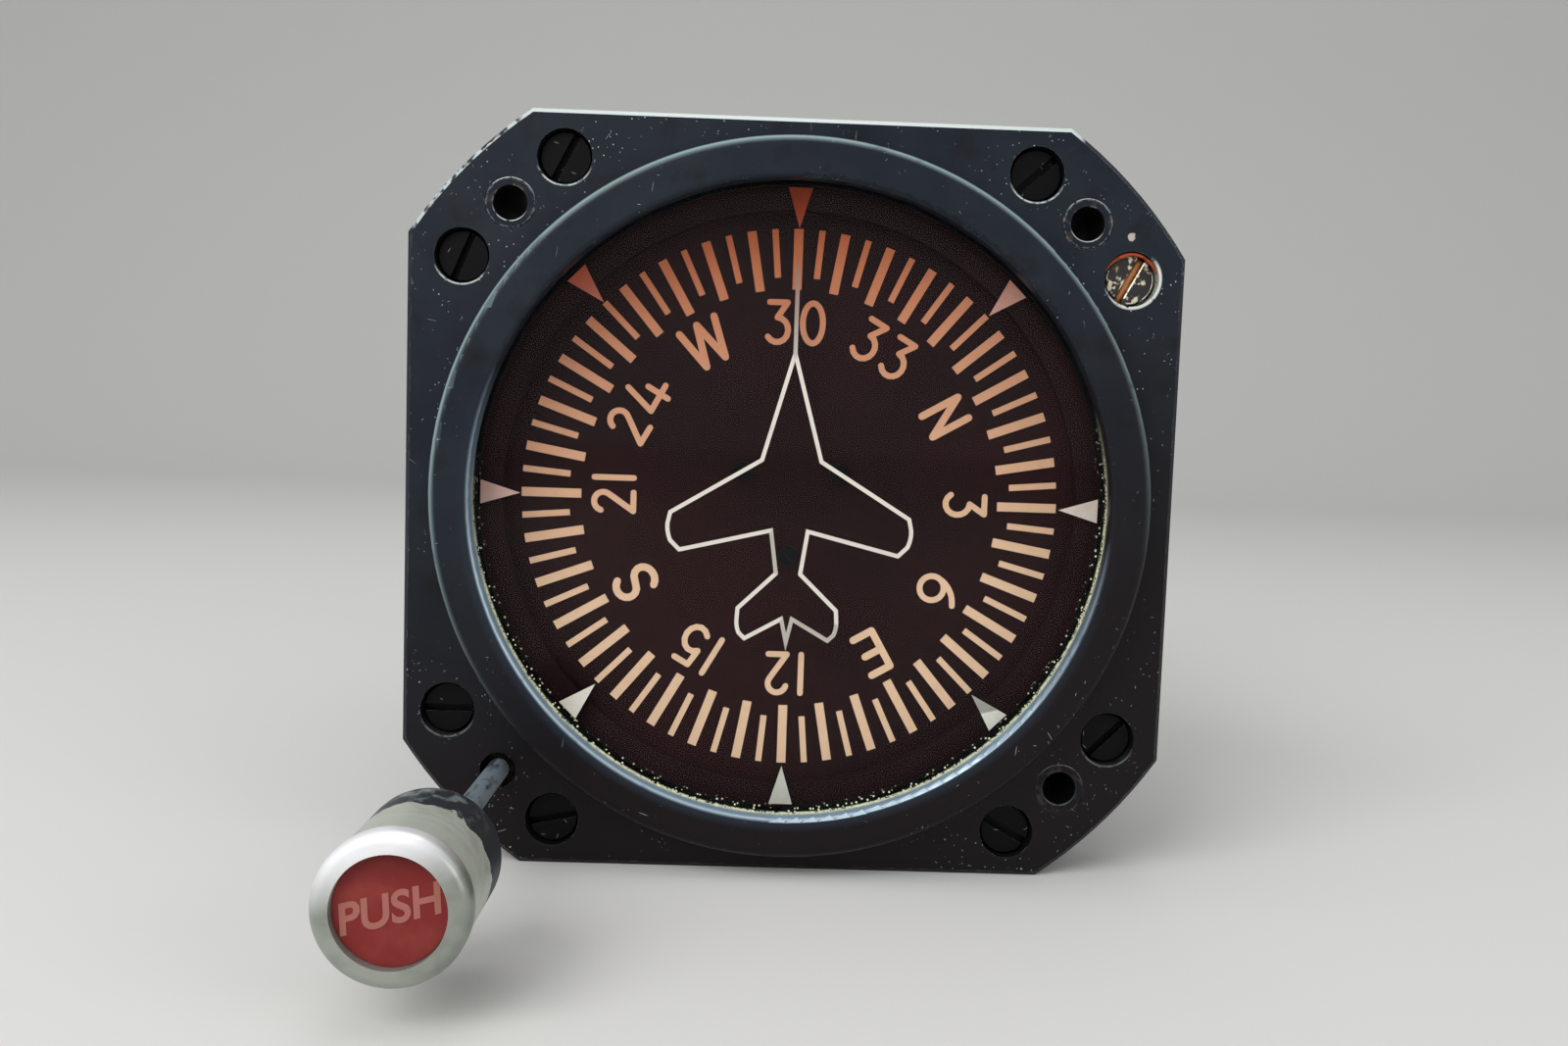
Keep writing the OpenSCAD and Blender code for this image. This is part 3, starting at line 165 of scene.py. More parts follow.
class Pattern:
    """A mask from 0 to 1 that a finish is laid through. Its sizes are real millimetres."""

    def on(self, surface: Surface) -> Socket:
        """Returns the mask, drawn on a surface."""
        raise NotImplementedError


Mask = Union[Pattern, Socket, float]


class Surface:
    """One material under construction."""

    def __init__(self, name: str, colour: str, roughness: float, metallic: float = 0.0, gloss: float = 0.5) -> None:
        """Starts from an even finish.

        Args:
            name: The real material's name.
            colour: Its colour, as sRGB hex.
            roughness: How rough it is, from 0 to 1.
            metallic: 1 for a metal.
            gloss: The shader's specular level, the same all over.
        """
        self.material = bpy.data.materials.new(name)
        self.material.use_nodes = True
        self.material.diffuse_color = linear(colour)
        self.tree = self.material.node_tree
        self.tree.nodes.clear()
        self.shader = add_node(self.tree, "ShaderNodeBsdfPrincipled", {
            "Base Color": linear(colour), "Roughness": roughness, "Metallic": metallic, "Specular IOR Level": gloss})
        self.output = add_node(self.tree, "ShaderNodeOutputMaterial", {"Surface": self.shader.outputs[0]})
        self.place = add_node(self.tree, "ShaderNodeTexCoord")
        self.mm = add_node(self.tree, "ShaderNodeVectorMath",
                           {0: self.place.outputs["Object"], "Scale": 1 / MM}, operation="SCALE").outputs[0]

    def drawn(self, mask: Mask) -> Socket | float:
        """Returns a mask as something that a node can take."""
        return mask.on(self) if isinstance(mask, Pattern) else mask

    def combined(self, operation: str, masks: Sequence[Mask]) -> Socket:
        """Brings masks together by one operation, two at a time.

        Args:
            operation: Blender's name for the operation.
            masks: The masks, in order.

        Returns:
            The mask that results.
        """
        result = self.drawn(masks[0])
        for mask in masks[1:]:
            result = add_node(self.tree, "ShaderNodeMath", {0: result, 1: self.drawn(mask)},
                              operation=operation).outputs[0]
        return result

    def meet(self, *masks: Mask) -> Socket:
        """Returns the mask of where all of some masks are."""
        return self.combined("MULTIPLY", masks)

    def join(self, *masks: Mask) -> Socket:
        """Returns the mask of where any of some masks is."""
        return self.combined("MAXIMUM", masks)

    def along(self, way: Triple) -> Socket:
        """Returns how far a point lies along a direction of the frame, in millimetres."""
        return add_node(self.tree, "ShaderNodeVectorMath", {0: self.mm, 1: way},
                        operation="DOT_PRODUCT").outputs["Value"]

    def lean(self, way: Triple) -> Socket:
        """Returns how far the surface leans to a direction of length one: 1 where it faces it, 0 square to it."""
        return add_node(self.tree, "ShaderNodeVectorMath", {0: self.place.outputs["Normal"], 1: way},
                        operation="DOT_PRODUCT").outputs["Value"]

    def radius(self, at: Pair) -> Socket:
        """Measures the distance from a line along Y.

        Args:
            at: The x and z that the line goes through, in millimetres.

        Returns:
            The distance, in millimetres.
        """
        away = add_node(self.tree, "ShaderNodeVectorMath", {0: self.mm, 1: (at[0], 0, at[1])}, operation="SUBTRACT")
        flat = add_node(self.tree, "ShaderNodeVectorMath", {0: away.outputs[0], 1: ONTO_DIAL}, operation="MULTIPLY")
        return add_node(self.tree, "ShaderNodeVectorMath", {0: flat.outputs[0]}, operation="LENGTH").outputs["Value"]

    def between(self, value: Socket, low: float, high: float, soft: float) -> Socket:
        """Makes a mask that is 1 where a value lies from low to high.

        Args:
            value: The value.
            low: Where the mask begins.
            high: Where it ends.
            soft: Half the width of its soft sides.

        Returns:
            The mask.
        """
        rise = add_node(self.tree, "ShaderNodeMapRange",
                        {"Value": value, "From Min": low - soft, "From Max": low + soft})
        fall = add_node(self.tree, "ShaderNodeMapRange",
                        {"Value": value, "From Min": high + soft, "From Max": high - soft})
        return self.meet(rise.outputs[0], fall.outputs[0])

    def lay(self, masks: Mask | tuple[Mask, ...], colour: str, roughness: float | None = None,
            metallic: float | None = None) -> None:
        """Lays another finish over what is there.

        Args:
            masks: Where it lies: one mask, or several that it lies in the meeting of.
            colour: Its colour, as sRGB hex.
            roughness: Its roughness, if that changes.
            metallic: Its metallic value, if that changes.
        """
        mask = self.meet(*masks) if isinstance(masks, tuple) else self.drawn(masks)
        for name, value in (("Base Color", linear(colour)), ("Roughness", roughness), ("Metallic", metallic)):
            if value is None:
                continue
            target = self.shader.inputs[name]
            under = target.links[0].from_socket if target.is_linked else target.default_value
            kind, first, second, out = ("RGBA", 6, 7, 2) if name == "Base Color" else ("FLOAT", 2, 3, 0)
            mixed = add_node(self.tree, "ShaderNodeMix", {0: mask, first: under, second: value}, data_type=kind)
            self.tree.links.new(mixed.outputs[out], target)

    def raise_by(self, relief: Relief) -> None:
        """Raises the surface by a relief.

        Args:
            relief: The relief, with its depth.
        """
        target = self.shader.inputs["Normal"]
        inputs = {"Height": relief.on(self), "Distance": relief.depth * MM}
        if target.is_linked:
            inputs["Normal"] = target.links[0].from_socket
        self.tree.links.new(add_node(self.tree, "ShaderNodeBump", inputs).outputs[0], target)


@dataclass(frozen=True)
class Patches(Pattern):
    """Soft irregular patches."""

    size: float  # how wide a patch is
    low: float = 0.4  # the noise level that gives 0
    high: float = 0.6  # the noise level that gives 1
    detail: float = 3.0  # how many finer layers ride on the patches
    stretch: Triple = (1.0, 1.0, 1.0)  # how much finer the patches are along each axis
    shift: float = 0.0  # moves the patches, so that two layers differ

    def on(self, surface: Surface) -> Socket:
        """Draws the patches on a surface.

        Args:
            surface: The surface that it is drawn on.

        Returns:
            The mask, from 0 to 1.
        """
        place = add_node(surface.tree, "ShaderNodeVectorMath",
                         {0: surface.mm, 1: tuple(s / self.size for s in self.stretch), 2: (self.shift,) * 3},
                         operation="MULTIPLY_ADD")
        noise = add_node(surface.tree, "ShaderNodeTexNoise",
                         {"Vector": place.outputs[0], "Scale": 1.0, "Detail": self.detail})
        return add_node(surface.tree, "ShaderNodeMapRange",
                        {"Value": noise.outputs[0], "From Min": self.low, "From Max": self.high}).outputs[0]


@dataclass(frozen=True)
class Relief(Patches):
    """Patches that stand out of the surface, as high as their depth says."""

    low: float = 0.2
    high: float = 0.8
    depth: float = 0.01


@dataclass(frozen=True)
class Grains(Pattern):
    """Small round grains scattered through the surface."""

    spacing: float  # between the places where a grain may lie
    size: float  # the largest grain's radius
    share: float  # the share of places that hold a grain

    def on(self, surface: Surface) -> Socket:
        """Draws the grains on a surface.

        Args:
            surface: The surface that it is drawn on.

        Returns:
            The mask, from 0 to 1.
        """
        tree = surface.tree
        cells = add_node(tree, "ShaderNodeTexVoronoi", {"Vector": surface.mm, "Scale": 1 / self.spacing})
        odds = add_node(tree, "ShaderNodeSeparateColor", {0: cells.outputs["Color"]})
        reach = add_node(tree, "ShaderNodeMath", {0: odds.outputs[1], 1: self.size / self.spacing},
                         operation="MULTIPLY")
        inside = add_node(tree, "ShaderNodeMath", {0: cells.outputs["Distance"], 1: reach.outputs[0]},
                          operation="LESS_THAN")
        chosen = add_node(tree, "ShaderNodeMath", {0: odds.outputs[0], 1: self.share}, operation="LESS_THAN")
        return surface.meet(inside.outputs[0], chosen.outputs[0])


@dataclass(frozen=True)
class Facing(Pattern):
    """The faces that look along Y, either way."""

    least: float = 0.9

    def on(self, surface: Surface) -> Socket:
        """Draws the faces on a surface.

        Args:
            surface: The surface that it is drawn on.

        Returns:
            The mask, from 0 to 1.
        """
        size = add_node(surface.tree, "ShaderNodeMath", {0: surface.lean(BACK)}, operation="ABSOLUTE")
        return add_node(surface.tree, "ShaderNodeMath", {0: size.outputs[0], 1: self.least},
                        operation="GREATER_THAN").outputs[0]


@dataclass(frozen=True)
class Scratches(Pattern):
    """Short straight scratches, each turned its own way, on faces that look along Y."""

    spacing: float  # between the places where a scratch may lie
    length: float
    width: float
    share: float  # the share of places that hold a scratch

    def on(self, surface: Surface) -> Socket:
        """Draws the scratches on a surface.

        Args:
            surface: The surface that it is drawn on.

        Returns:
            The mask, from 0 to 1.
        """
        tree = surface.tree
        flat = add_node(tree, "ShaderNodeVectorMath", {0: surface.mm, 1: ONTO_DIAL}, operation="MULTIPLY")
        cells = add_node(tree, "ShaderNodeTexVoronoi", {"Vector": flat.outputs[0], "Scale": 1 / self.spacing})
        odds = add_node(tree, "ShaderNodeSeparateColor", {0: cells.outputs["Color"]})
        away = add_node(tree, "ShaderNodeVectorMath", {0: flat.outputs[0], 1: cells.outputs["Position"]},
                        operation="SUBTRACT")
        angle = add_node(tree, "ShaderNodeMath", {0: odds.outputs[0], 1: TAU}, operation="MULTIPLY")
        turned = add_node(tree, "ShaderNodeVectorRotate",
                          {"Vector": away.outputs[0], "Axis": BACK, "Angle": angle.outputs[0]},
                          rotation_type="AXIS_ANGLE")
        parts = add_node(tree, "ShaderNodeSeparateXYZ", {0: turned.outputs[0]})
        masks = [Facing()]
        for part, half in ((parts.outputs["X"], self.length / 2), (parts.outputs["Z"], self.width / 2)):
            size = add_node(tree, "ShaderNodeMath", {0: part}, operation="ABSOLUTE")
            masks.append(add_node(tree, "ShaderNodeMapRange", {"Value": size.outputs[0], "From Min": half,
                                                               "From Max": half * 0.5}).outputs[0])
        chosen = add_node(tree, "ShaderNodeMath", {0: odds.outputs[1], 1: self.share}, operation="LESS_THAN")
        return surface.meet(*masks, chosen.outputs[0])


@dataclass(frozen=True)
class Ramp(Pattern):
    """A ramp along a direction of the frame, from least at low to most at high."""

    low: float
    high: float
    way: Triple = UP
    least: float = 0.0
    most: float = 1.0

    def on(self, surface: Surface) -> Socket:
        """Draws the ramp on a surface.

        Args:
            surface: The surface that it is drawn on.

        Returns:
            The mask, from 0 to 1.
        """
        return add_node(surface.tree, "ShaderNodeMapRange", {
            "Value": surface.along(self.way), "From Min": self.low, "From Max": self.high,
            "To Min": self.least, "To Max": self.most}).outputs[0]


@dataclass(frozen=True)
class Stripe(Pattern):
    """A stripe from low to high along a direction of the frame."""

    low: float
    high: float
    soft: float
    way: Triple

    def on(self, surface: Surface) -> Socket:
        """Returns the stripe, drawn on a surface."""
        return surface.between(surface.along(self.way), self.low, self.high, self.soft)


@dataclass(frozen=True)
class Ring(Pattern):
    """A ring from low to high round a line along Y, ragged by as much as the patches and their reach say."""

    low: float
    high: float
    soft: float
    at: Pair = (0.0, 0.0)
    ragged: Patches | None = None
    reach: float = 0.0

    def on(self, surface: Surface) -> Socket:
        """Draws the ring on a surface.

        Args:
            surface: The surface that it is drawn on.

        Returns:
            The mask, from 0 to 1.
        """
        radius = surface.radius(self.at)
        if self.ragged:
            radius = add_node(surface.tree, "ShaderNodeMath", {0: self.ragged.on(surface), 1: self.reach, 2: radius},
                              operation="MULTIPLY_ADD").outputs[0]
        return surface.between(radius, self.low, self.high, self.soft)


@dataclass(frozen=True)
class Hole(Pattern):
    """What lies within a radius of a line along Y."""

    size: float
    at: Pair

    def on(self, surface: Surface) -> Socket:
        """Returns the hole, drawn on a surface."""
        return add_node(surface.tree, "ShaderNodeMath", {0: surface.radius(self.at), 1: self.size},
                        operation="LESS_THAN").outputs[0]


@dataclass(frozen=True)
class Towards(Pattern):
    """What is turned to a direction by a cosine from low to high, such as an edge that faces the light."""

    way: Triple
    low: float
    high: float
    soft: float

    def on(self, surface: Surface) -> Socket:
        """Returns what is turned that way, drawn on a surface."""
        return surface.between(surface.lean(self.way), self.low, self.high, self.soft)


@dataclass(frozen=True)
class StovedEnamel:
    """Black stoving enamel over an aluminium die casting: a slate sheen painted at the top, and painted shade and
    red reflection that darken it to red-black towards the bottom.
    """

    paint: str = "#161c26"
    pale: str = "#20272f"
    # painted shade and red reflection, laid towards the bottom of the front
    shaded_foot: str = "#120c0f"
    grime: str = "#0d0c0e"
    bare: str = "#c3cbca"
    # painted highlight on the ring's rounded outer edge, partly rubbed enamel
    rubbed: str = "#83989a"
    # painted sheen on the ring's face beside the glass, lower half
    sheen: str = "#222a35"
    # painted highlight on the ring's inner lip, lower half
    lip: str = "#a9bcc8"
    # painted light on the ring's inner wall, lower half
    wall: str = "#8499a8"
    # painted highlight on the lower rims of the screw wells
    chipped: str = "#c3cdcb"
    dust: str = "#e2e3c2"
    seal: str = "#e2e4dc"
    # painted shade inside the screw wells
    fouled: str = "#050506"
    dripped: str = "#b7aca6"
    crumbled: str = "#8b8270"
    roughness: float = 0.38
    gloss: float = 0.17
    ring_edge: float = 38.8
    glass_edge: float = 34.6
    well_size: float = 3.03
    wells: tuple[Pair, ...] = (
        (25.65, 36.58), (36.58, 25.65), (36.58, -25.65), (25.65, -36.58),
        (-25.65, 36.58), (-36.58, 25.65), (-37.48, -24.35), (-25.65, -36.58),
    )
    sealed: Pair = (36.58, 25.65)
    shaft: Pair = (-31.762, -31.104)
    clouds: Patches = Patches(9.0, 0.35, 0.7)
    # where the painted shade lies: none at the upper left, full at the bottom
    shade_to_foot: Ramp = Ramp(16.0, -22.0, (-0.35, 0.0, 1.0))
    grime_patches: Patches = Patches(4.0, 0.55, 0.8, shift=7.0)
    skin: tuple[Relief, ...] = (Relief(0.35, depth=0.004), Relief(1.6))

    def dress(self) -> bpy.types.Material:
        """Makes the enamel of the front.

        Returns:
            The material.
        """
        surface = Surface("black_stoved_enamel", self.paint, self.roughness, gloss=self.gloss)
        surface.lay(self.clouds, self.pale)
        # painted shade and red reflection, darker towards the bottom
        surface.lay(self.shade_to_foot, self.shaded_foot)
        surface.lay(self.grime_patches, self.grime, 0.55)
        self.scuff(surface)
        self.rub_and_highlight_ring(surface)
        self.rub_and_highlight_flange(surface)
        self.shade_wells_and_highlight_rims(surface)
        self.dust_ledge(surface)
        for relief in self.skin:
            surface.raise_by(relief)
        return surface.material

    def scuff(self, surface: Surface) -> None:
        """Adds the grains, the short scratches and the drop of pale paint of years in a cockpit.

        Args:
            surface: The surface that the enamel is laid on.
        """
        clustered = Patches(9.0, 0.45, 0.6, 5.0, shift=3.0).on(surface)
        strength = surface.meet(clustered, Ramp(-30.0, 20.0, least=0.4, most=0.85))
        for grains in (Grains(1.7, 0.12, 0.35), Grains(0.6, 0.08, 0.3), Grains(0.33, 0.07, 0.2)):
            surface.lay((grains, strength), self.bare, 0.5)
        for scratches in (Scratches(1.9, 0.4, 0.06, 0.22), Scratches(3.3, 1.2, 0.05, 0.14)):
            surface.lay((scratches, clustered, 0.7), self.bare, 0.45)
        drop = Ring(-1.0, 0.56, 0.04, at=(36.3, 30.2), ragged=Patches(0.5, 0.2, 0.8), reach=0.3)
        surface.lay(drop, self.dripped, 0.5)
        round_shaft = Ring(2.0, 3.3, 0.4, self.shaft)
        surface.lay((round_shaft, Grains(0.3, 0.07, 0.35)), self.crumbled, 0.6)

    def rub_and_highlight_ring(self, surface: Surface) -> None:
        """Rubs the enamel thin on the ring's rounded outer edge, with a painted highlight there that fades towards
        the bottom, and paints a sheen on the ring's lower face, light on its inner wall where it faces up and a
        highlight on its inner lip.

        Args:
            surface: The surface that the enamel is laid on.
        """
        rounded = Towards(FRONT, 0.5, 0.86, 0.12).on(surface)
        outer = Ring(self.ring_edge - 0.9, self.ring_edge + 0.4, 0.1)
        # rubbed enamel with a painted highlight on the outer edge, fading towards the bottom
        surface.lay((outer, rounded, Ramp(-16.0, 18.0, (-0.3, 0.0, 1.0)), Patches(2.4, 0.14, 0.4, 5.0)),
                    self.rubbed, 0.5, 0.1)
        # the ring's lower half, where the sheen, the lit wall and the lip's highlight are painted
        low = Ramp(6.0, -18.0, (0.25, 0.0, 1.0)).on(surface)
        surface.lay((Ring(self.glass_edge, self.glass_edge + 1.0, 0.5), low), self.sheen)
        wall = Ring(self.glass_edge - 0.2, self.glass_edge + 0.2, 0.05)
        surface.lay((wall, low, Ramp(-1.5, -1.9, BACK)), self.wall, 0.4, 0.2)
        inner = Ring(self.glass_edge - 0.1, self.glass_edge + 0.75, 0.15)
        # painted highlight on the inner lip
        surface.lay((inner, rounded, low, Patches(2.6, 0.15, 0.4, 5.0)), self.lip, 0.32, 0.5)

    def rub_and_highlight_flange(self, surface: Surface) -> None:
        """Paints the flange's upper edges as bare aluminium, most at the upper left corner: partly rubbed-through
        enamel, partly a painted highlight where the edges face up.

        Args:
            surface: The surface that the enamel is laid on.
        """
        outside = Ring(self.ring_edge + 1.2, 99.0, 0.2).on(surface)
        # painted highlight: bare metal on the edges that face up and to the front
        for way, left in (((0.0, -0.707, 0.707), 0.18), ((-0.5, -0.707, 0.5), 0.42)):
            surface.lay((Towards(way, 0.93, 1.1, 0.03), outside, Patches(1.1, left, left + 0.1, 5.0)),
                        self.bare, 0.4, 0.3)

    def shade_wells_and_highlight_rims(self, surface: Surface) -> None:
        """Paints shade into the screw wells, paints a highlight on their lower rims and bursts the lacquer out of
        the sealed one.

        Args:
            surface: The surface that the enamel is laid on.
        """
        inside = Ramp(0.05, 0.25, BACK).on(surface)
        # patches of the rim highlight, stronger in the upper wells
        worn = surface.meet(Patches(0.7, 0.36, 0.5, 5.0), Ramp(-38.0, 10.0))
        for well in self.wells:
            # painted shade inside the well
            surface.lay((Hole(self.well_size, well), inside), self.fouled, 0.8)
            rim = Ring(self.well_size, self.well_size + 0.16, 0.05, well)
            # painted highlight on the well's lower rim
            surface.lay((rim, Ramp(well[1] - 1.0, well[1] - 2.4), worn), self.chipped, 0.4)
        burst = Ring(2.9, 3.3, 0.08, self.sealed)
        surface.lay((burst, Ramp(10.4, 12.0, (0.75, 0.0, -0.66)), Patches(0.7, 0.34, 0.44, 5.0)),
                    self.seal, 0.35, 0.5)

    def dust_ledge(self, surface: Surface) -> None:
        """Leaves dust on the ledge where the glass meets the ring.

        Args:
            surface: The surface that the enamel is laid on.
        """
        ledge = Ring(self.glass_edge - 0.2, self.glass_edge + 0.12, 0.05)
        low, front = Ramp(8.0, -8.0, (-0.1, 0.0, 1.0)), Ramp(-2.6, -2.0, BACK)
        surface.lay((ledge, low, Patches(0.25, 0.42, 0.5, 5.0), front), self.dust, 0.9)

    def dress_edges(self) -> bpy.types.Material:
        """Makes the sharp edges, rubbed through to bare aluminium in patches, with a painted highlight where they
        face the light and along the top edge, and painted shade towards the bottom.

        Returns:
            The material.
        """
        surface = Surface("rubbed_and_highlit_enamel_edge", self.paint, self.roughness, gloss=self.gloss)
        # painted shade: darker towards the bottom
        surface.lay(Ramp(10.0, -16.0), self.shaded_foot)
        surface.lay(Patches(1.7, 0.52, 0.6, 5.0), self.bare, 0.36, 0.6)
        # painted highlight on the edges that face up and to the front
        lit = Towards((0.2, -0.69, 0.69), 0.82, 1.2, 0.1)
        surface.lay((lit, Patches(0.5, 0.34, 0.46, 5.0), Ramp(-70.0, 4.0)), "#d3dcd9", 0.4, 0.1)
        # painted highlight along the flange's top edge
        top = Ramp(36.0, 41.4)
        surface.lay((top, Patches(1.4, 0.24, 0.36, 5.0)), "#c4cdcc", 0.45, 0.2)
        surface.raise_by(Relief(0.3))
        return surface.material


@dataclass(frozen=True)
class Metal:
    """A plain metal: fine marks of the tool that made it, and tarnish in patches."""

    name: str
    colour: str
    tarnish: str
    roughness: float
    cut: Cut = Cut.TURNED
    mark: float = 0.18
    depth: float = 0.004
    tarnished: float = 0.5
    tarnish_size: float = 3.5
    tarnish_roughness: float = 0.15

    def dress(self) -> bpy.types.Material:
        """Makes the metal.

        Returns:
            The material.
        """
        surface = Surface(self.name, self.colour, self.roughness, 1.0)
        low = 0.75 - self.tarnished / 2
        surface.lay(Patches(self.tarnish_size, low, low + 0.18, 5.0), self.tarnish,
                    self.roughness + self.tarnish_roughness)
        surface.lay(Patches(self.mark * 2, 0.45, 0.75, stretch=self.cut.value), self.tarnish)
        surface.raise_by(Relief(self.mark, stretch=self.cut.value, depth=self.depth))
        return surface.material


@dataclass(frozen=True)
class WrinkleEnamel:
    """Black wrinkle enamel on the case: a fine skin of folds that breaks up the light."""

    paint: str = "#1d1e21"
    crest: str = "#303237"
    rubbed: str = "#34332f"
    bare: str = "#9aa0a2"
    folds: Relief = Relief(0.55, 0.3, 0.7, 2.0, depth=0.045)

    def dress(self) -> bpy.types.Material:
        """Makes the enamel of the case.

        Returns:
            The material.
        """
        surface = Surface("black_wrinkle_enamel", self.paint, 0.5)
        surface.lay(self.folds, self.crest, 0.38)
        surface.lay(Patches(11.0, 0.6, 0.8, 5.0), self.rubbed, 0.7)
        surface.lay(Grains(2.4, 0.22, 0.3), self.bare, 0.5, 0.6)
        surface.raise_by(self.folds)
        return surface.material

    def dress_edges(self) -> bpy.types.Material:
        """Makes the edges, rubbed through to bare aluminium in places.

        Returns:
            The material.
        """
        surface = Surface("rubbed_wrinkle_edge", self.paint, 0.45)
        surface.lay(Patches(2.6, 0.5, 0.58, 5.0), self.bare, 0.4, 0.9)
        surface.raise_by(Relief(0.4))
        return surface.material


@dataclass(frozen=True)
class BlackSteel:
    """Chemically blackened steel: near-black satin heads with a bright edge here and there, a painted highlight."""

    colour: str = "#060608"
    # rubbed steel: real scratches on the heads, and the painted highlight on the edges
    rubbed: str = "#8b9092"
    speck: str = "#6f7476"
    grime: str = "#120f0e"

    def dress(self) -> bpy.types.Material:
        """Makes the blackened steel.

        Returns:
            The material.
        """
        surface = Surface("blackened_steel", self.colour, 0.42, gloss=0.1)
        surface.lay(Scratches(1.3, 0.6, 0.06, 0.14), self.rubbed, 0.35, 0.6)
        surface.lay(Grains(0.7, 0.07, 0.2), self.speck, 0.5)
        surface.lay(Patches(0.9, 0.62, 0.7), self.grime, 0.65)
        surface.raise_by(Relief(0.3, depth=0.006))
        return surface.material

    def dress_edges(self) -> bpy.types.Material:
        """Makes the edges, with a painted highlight in patches where they face the light.

        Returns:
            The material.
        """
        surface = Surface("rubbed_and_highlit_blackened_edge", self.colour, 0.4, gloss=0.25)
        lit = Towards((0.4, -0.7, 0.59), 0.7, 1.2, 0.15)
        # painted highlight on the edges that face the light
        surface.lay((lit, Patches(2.2, 0.44, 0.54)), self.rubbed, 0.34, 0.6)
        return surface.material


@dataclass(frozen=True)
class ScarredSteel:
    """Bare screw head under flaked lacquer: cream and brassy patches in dark stains."""

    silver: str = "#d6cdb2"
    brassy: str = "#a58355"
    stain: str = "#15100f"
    rim: str = "#e4e0cf"

    def dress(self) -> bpy.types.Material:
        """Makes the scarred head.

        Returns:
            The material.
        """
        surface = Surface("scarred_cadmium_steel", self.silver, 0.42, 0.45)
        surface.lay(Patches(1.3, 0.52, 0.6), self.brassy, 0.4)
        surface.lay(Patches(1.0, 0.4, 0.45, 4.0, shift=4.0), self.stain, 0.5, 0.0)
        surface.raise_by(Relief(0.6, 0.3, 0.7, depth=0.03))
        return surface.material

    def dress_edges(self) -> bpy.types.Material:
        """Makes the rim, worn bright by the screwdriver.

        Returns:
            The material.
        """
        surface = Surface("worn_cadmium_rim", self.rim, 0.34, 0.5)
        surface.lay(Patches(1.1, 0.46, 0.54, 4.0), self.stain, 0.5, 0.0)
        return surface.material


@dataclass(frozen=True)
class WornBush:
    """Enamelled steel bush worn by panel screws: fine rings of crumbs on its face, its bore painted near black as
    shade and its face darker towards the bottom as painted shade.
    """

    face: str = "#1a2029"
    # painted shade: the face darker towards the bottom
    shaded_foot: str = "#171215"
    pale: str = "#6b6e72"
    brown: str = "#3a3331"
    # painted shade: the bore near black
    bore: str = "#040404"
    chipped: str = "#6f6660"
    # painted highlight on the bore's edge where it faces the light
    bright: str = "#c9cfcc"
    seam: float = 2.62
    places: tuple[Pair, ...] = ((-31.435, 31.435), (31.435, 31.435), (31.435, -31.435))

    def dress(self) -> bpy.types.Material:
        """Makes the face and bore of the bush.

        Returns:
            The material.
        """
        # painted shade: all but the face starts near black, the bore in shade
        surface = Surface("worn_bush_steel", self.bore, 0.7, gloss=0.12)
        front = Facing(0.75).on(surface)
        surface.lay(front, self.face, 0.42)
        # painted shade, darker towards the bottom
        surface.lay((front, Ramp(16.0, -22.0)), self.shaded_foot)
        surface.lay((front, Patches(1.2, 0.52, 0.66, 5.0)), self.brown, 0.5)
        worn = surface.meet(Patches(0.4, 0.46, 0.56, 5.0), Ramp(-36.0, 24.0), 0.8)
        for place in self.places:
            ring = Ring(self.seam - 0.1, self.seam + 0.16, 0.06, place)
            surface.lay((ring, front, worn), self.pale, 0.5)
        surface.raise_by(Relief(0.35, 0.3, 0.7, depth=0.012))
        return surface.material

    def dress_edges(self) -> bpy.types.Material:
        """Makes the edge of the bore, with a painted highlight where it faces the light.

        Returns:
            The material.
        """
        surface = Surface("worn_bush_edge", self.face, 0.5, gloss=0.2)
        surface.lay((Patches(1.2, 0.54, 0.62), Ramp(-36.0, 20.0)), self.chipped, 0.4)
        lit = Towards((0.1, -0.7, 0.7), 0.8, 1.2, 0.1)
        # painted highlight on the edge that faces the light
        surface.lay((lit, Patches(0.8, 0.36, 0.48, 4.0), Ramp(-40.0, 10.0)), self.bright, 0.34, 0.5)
        return surface.material


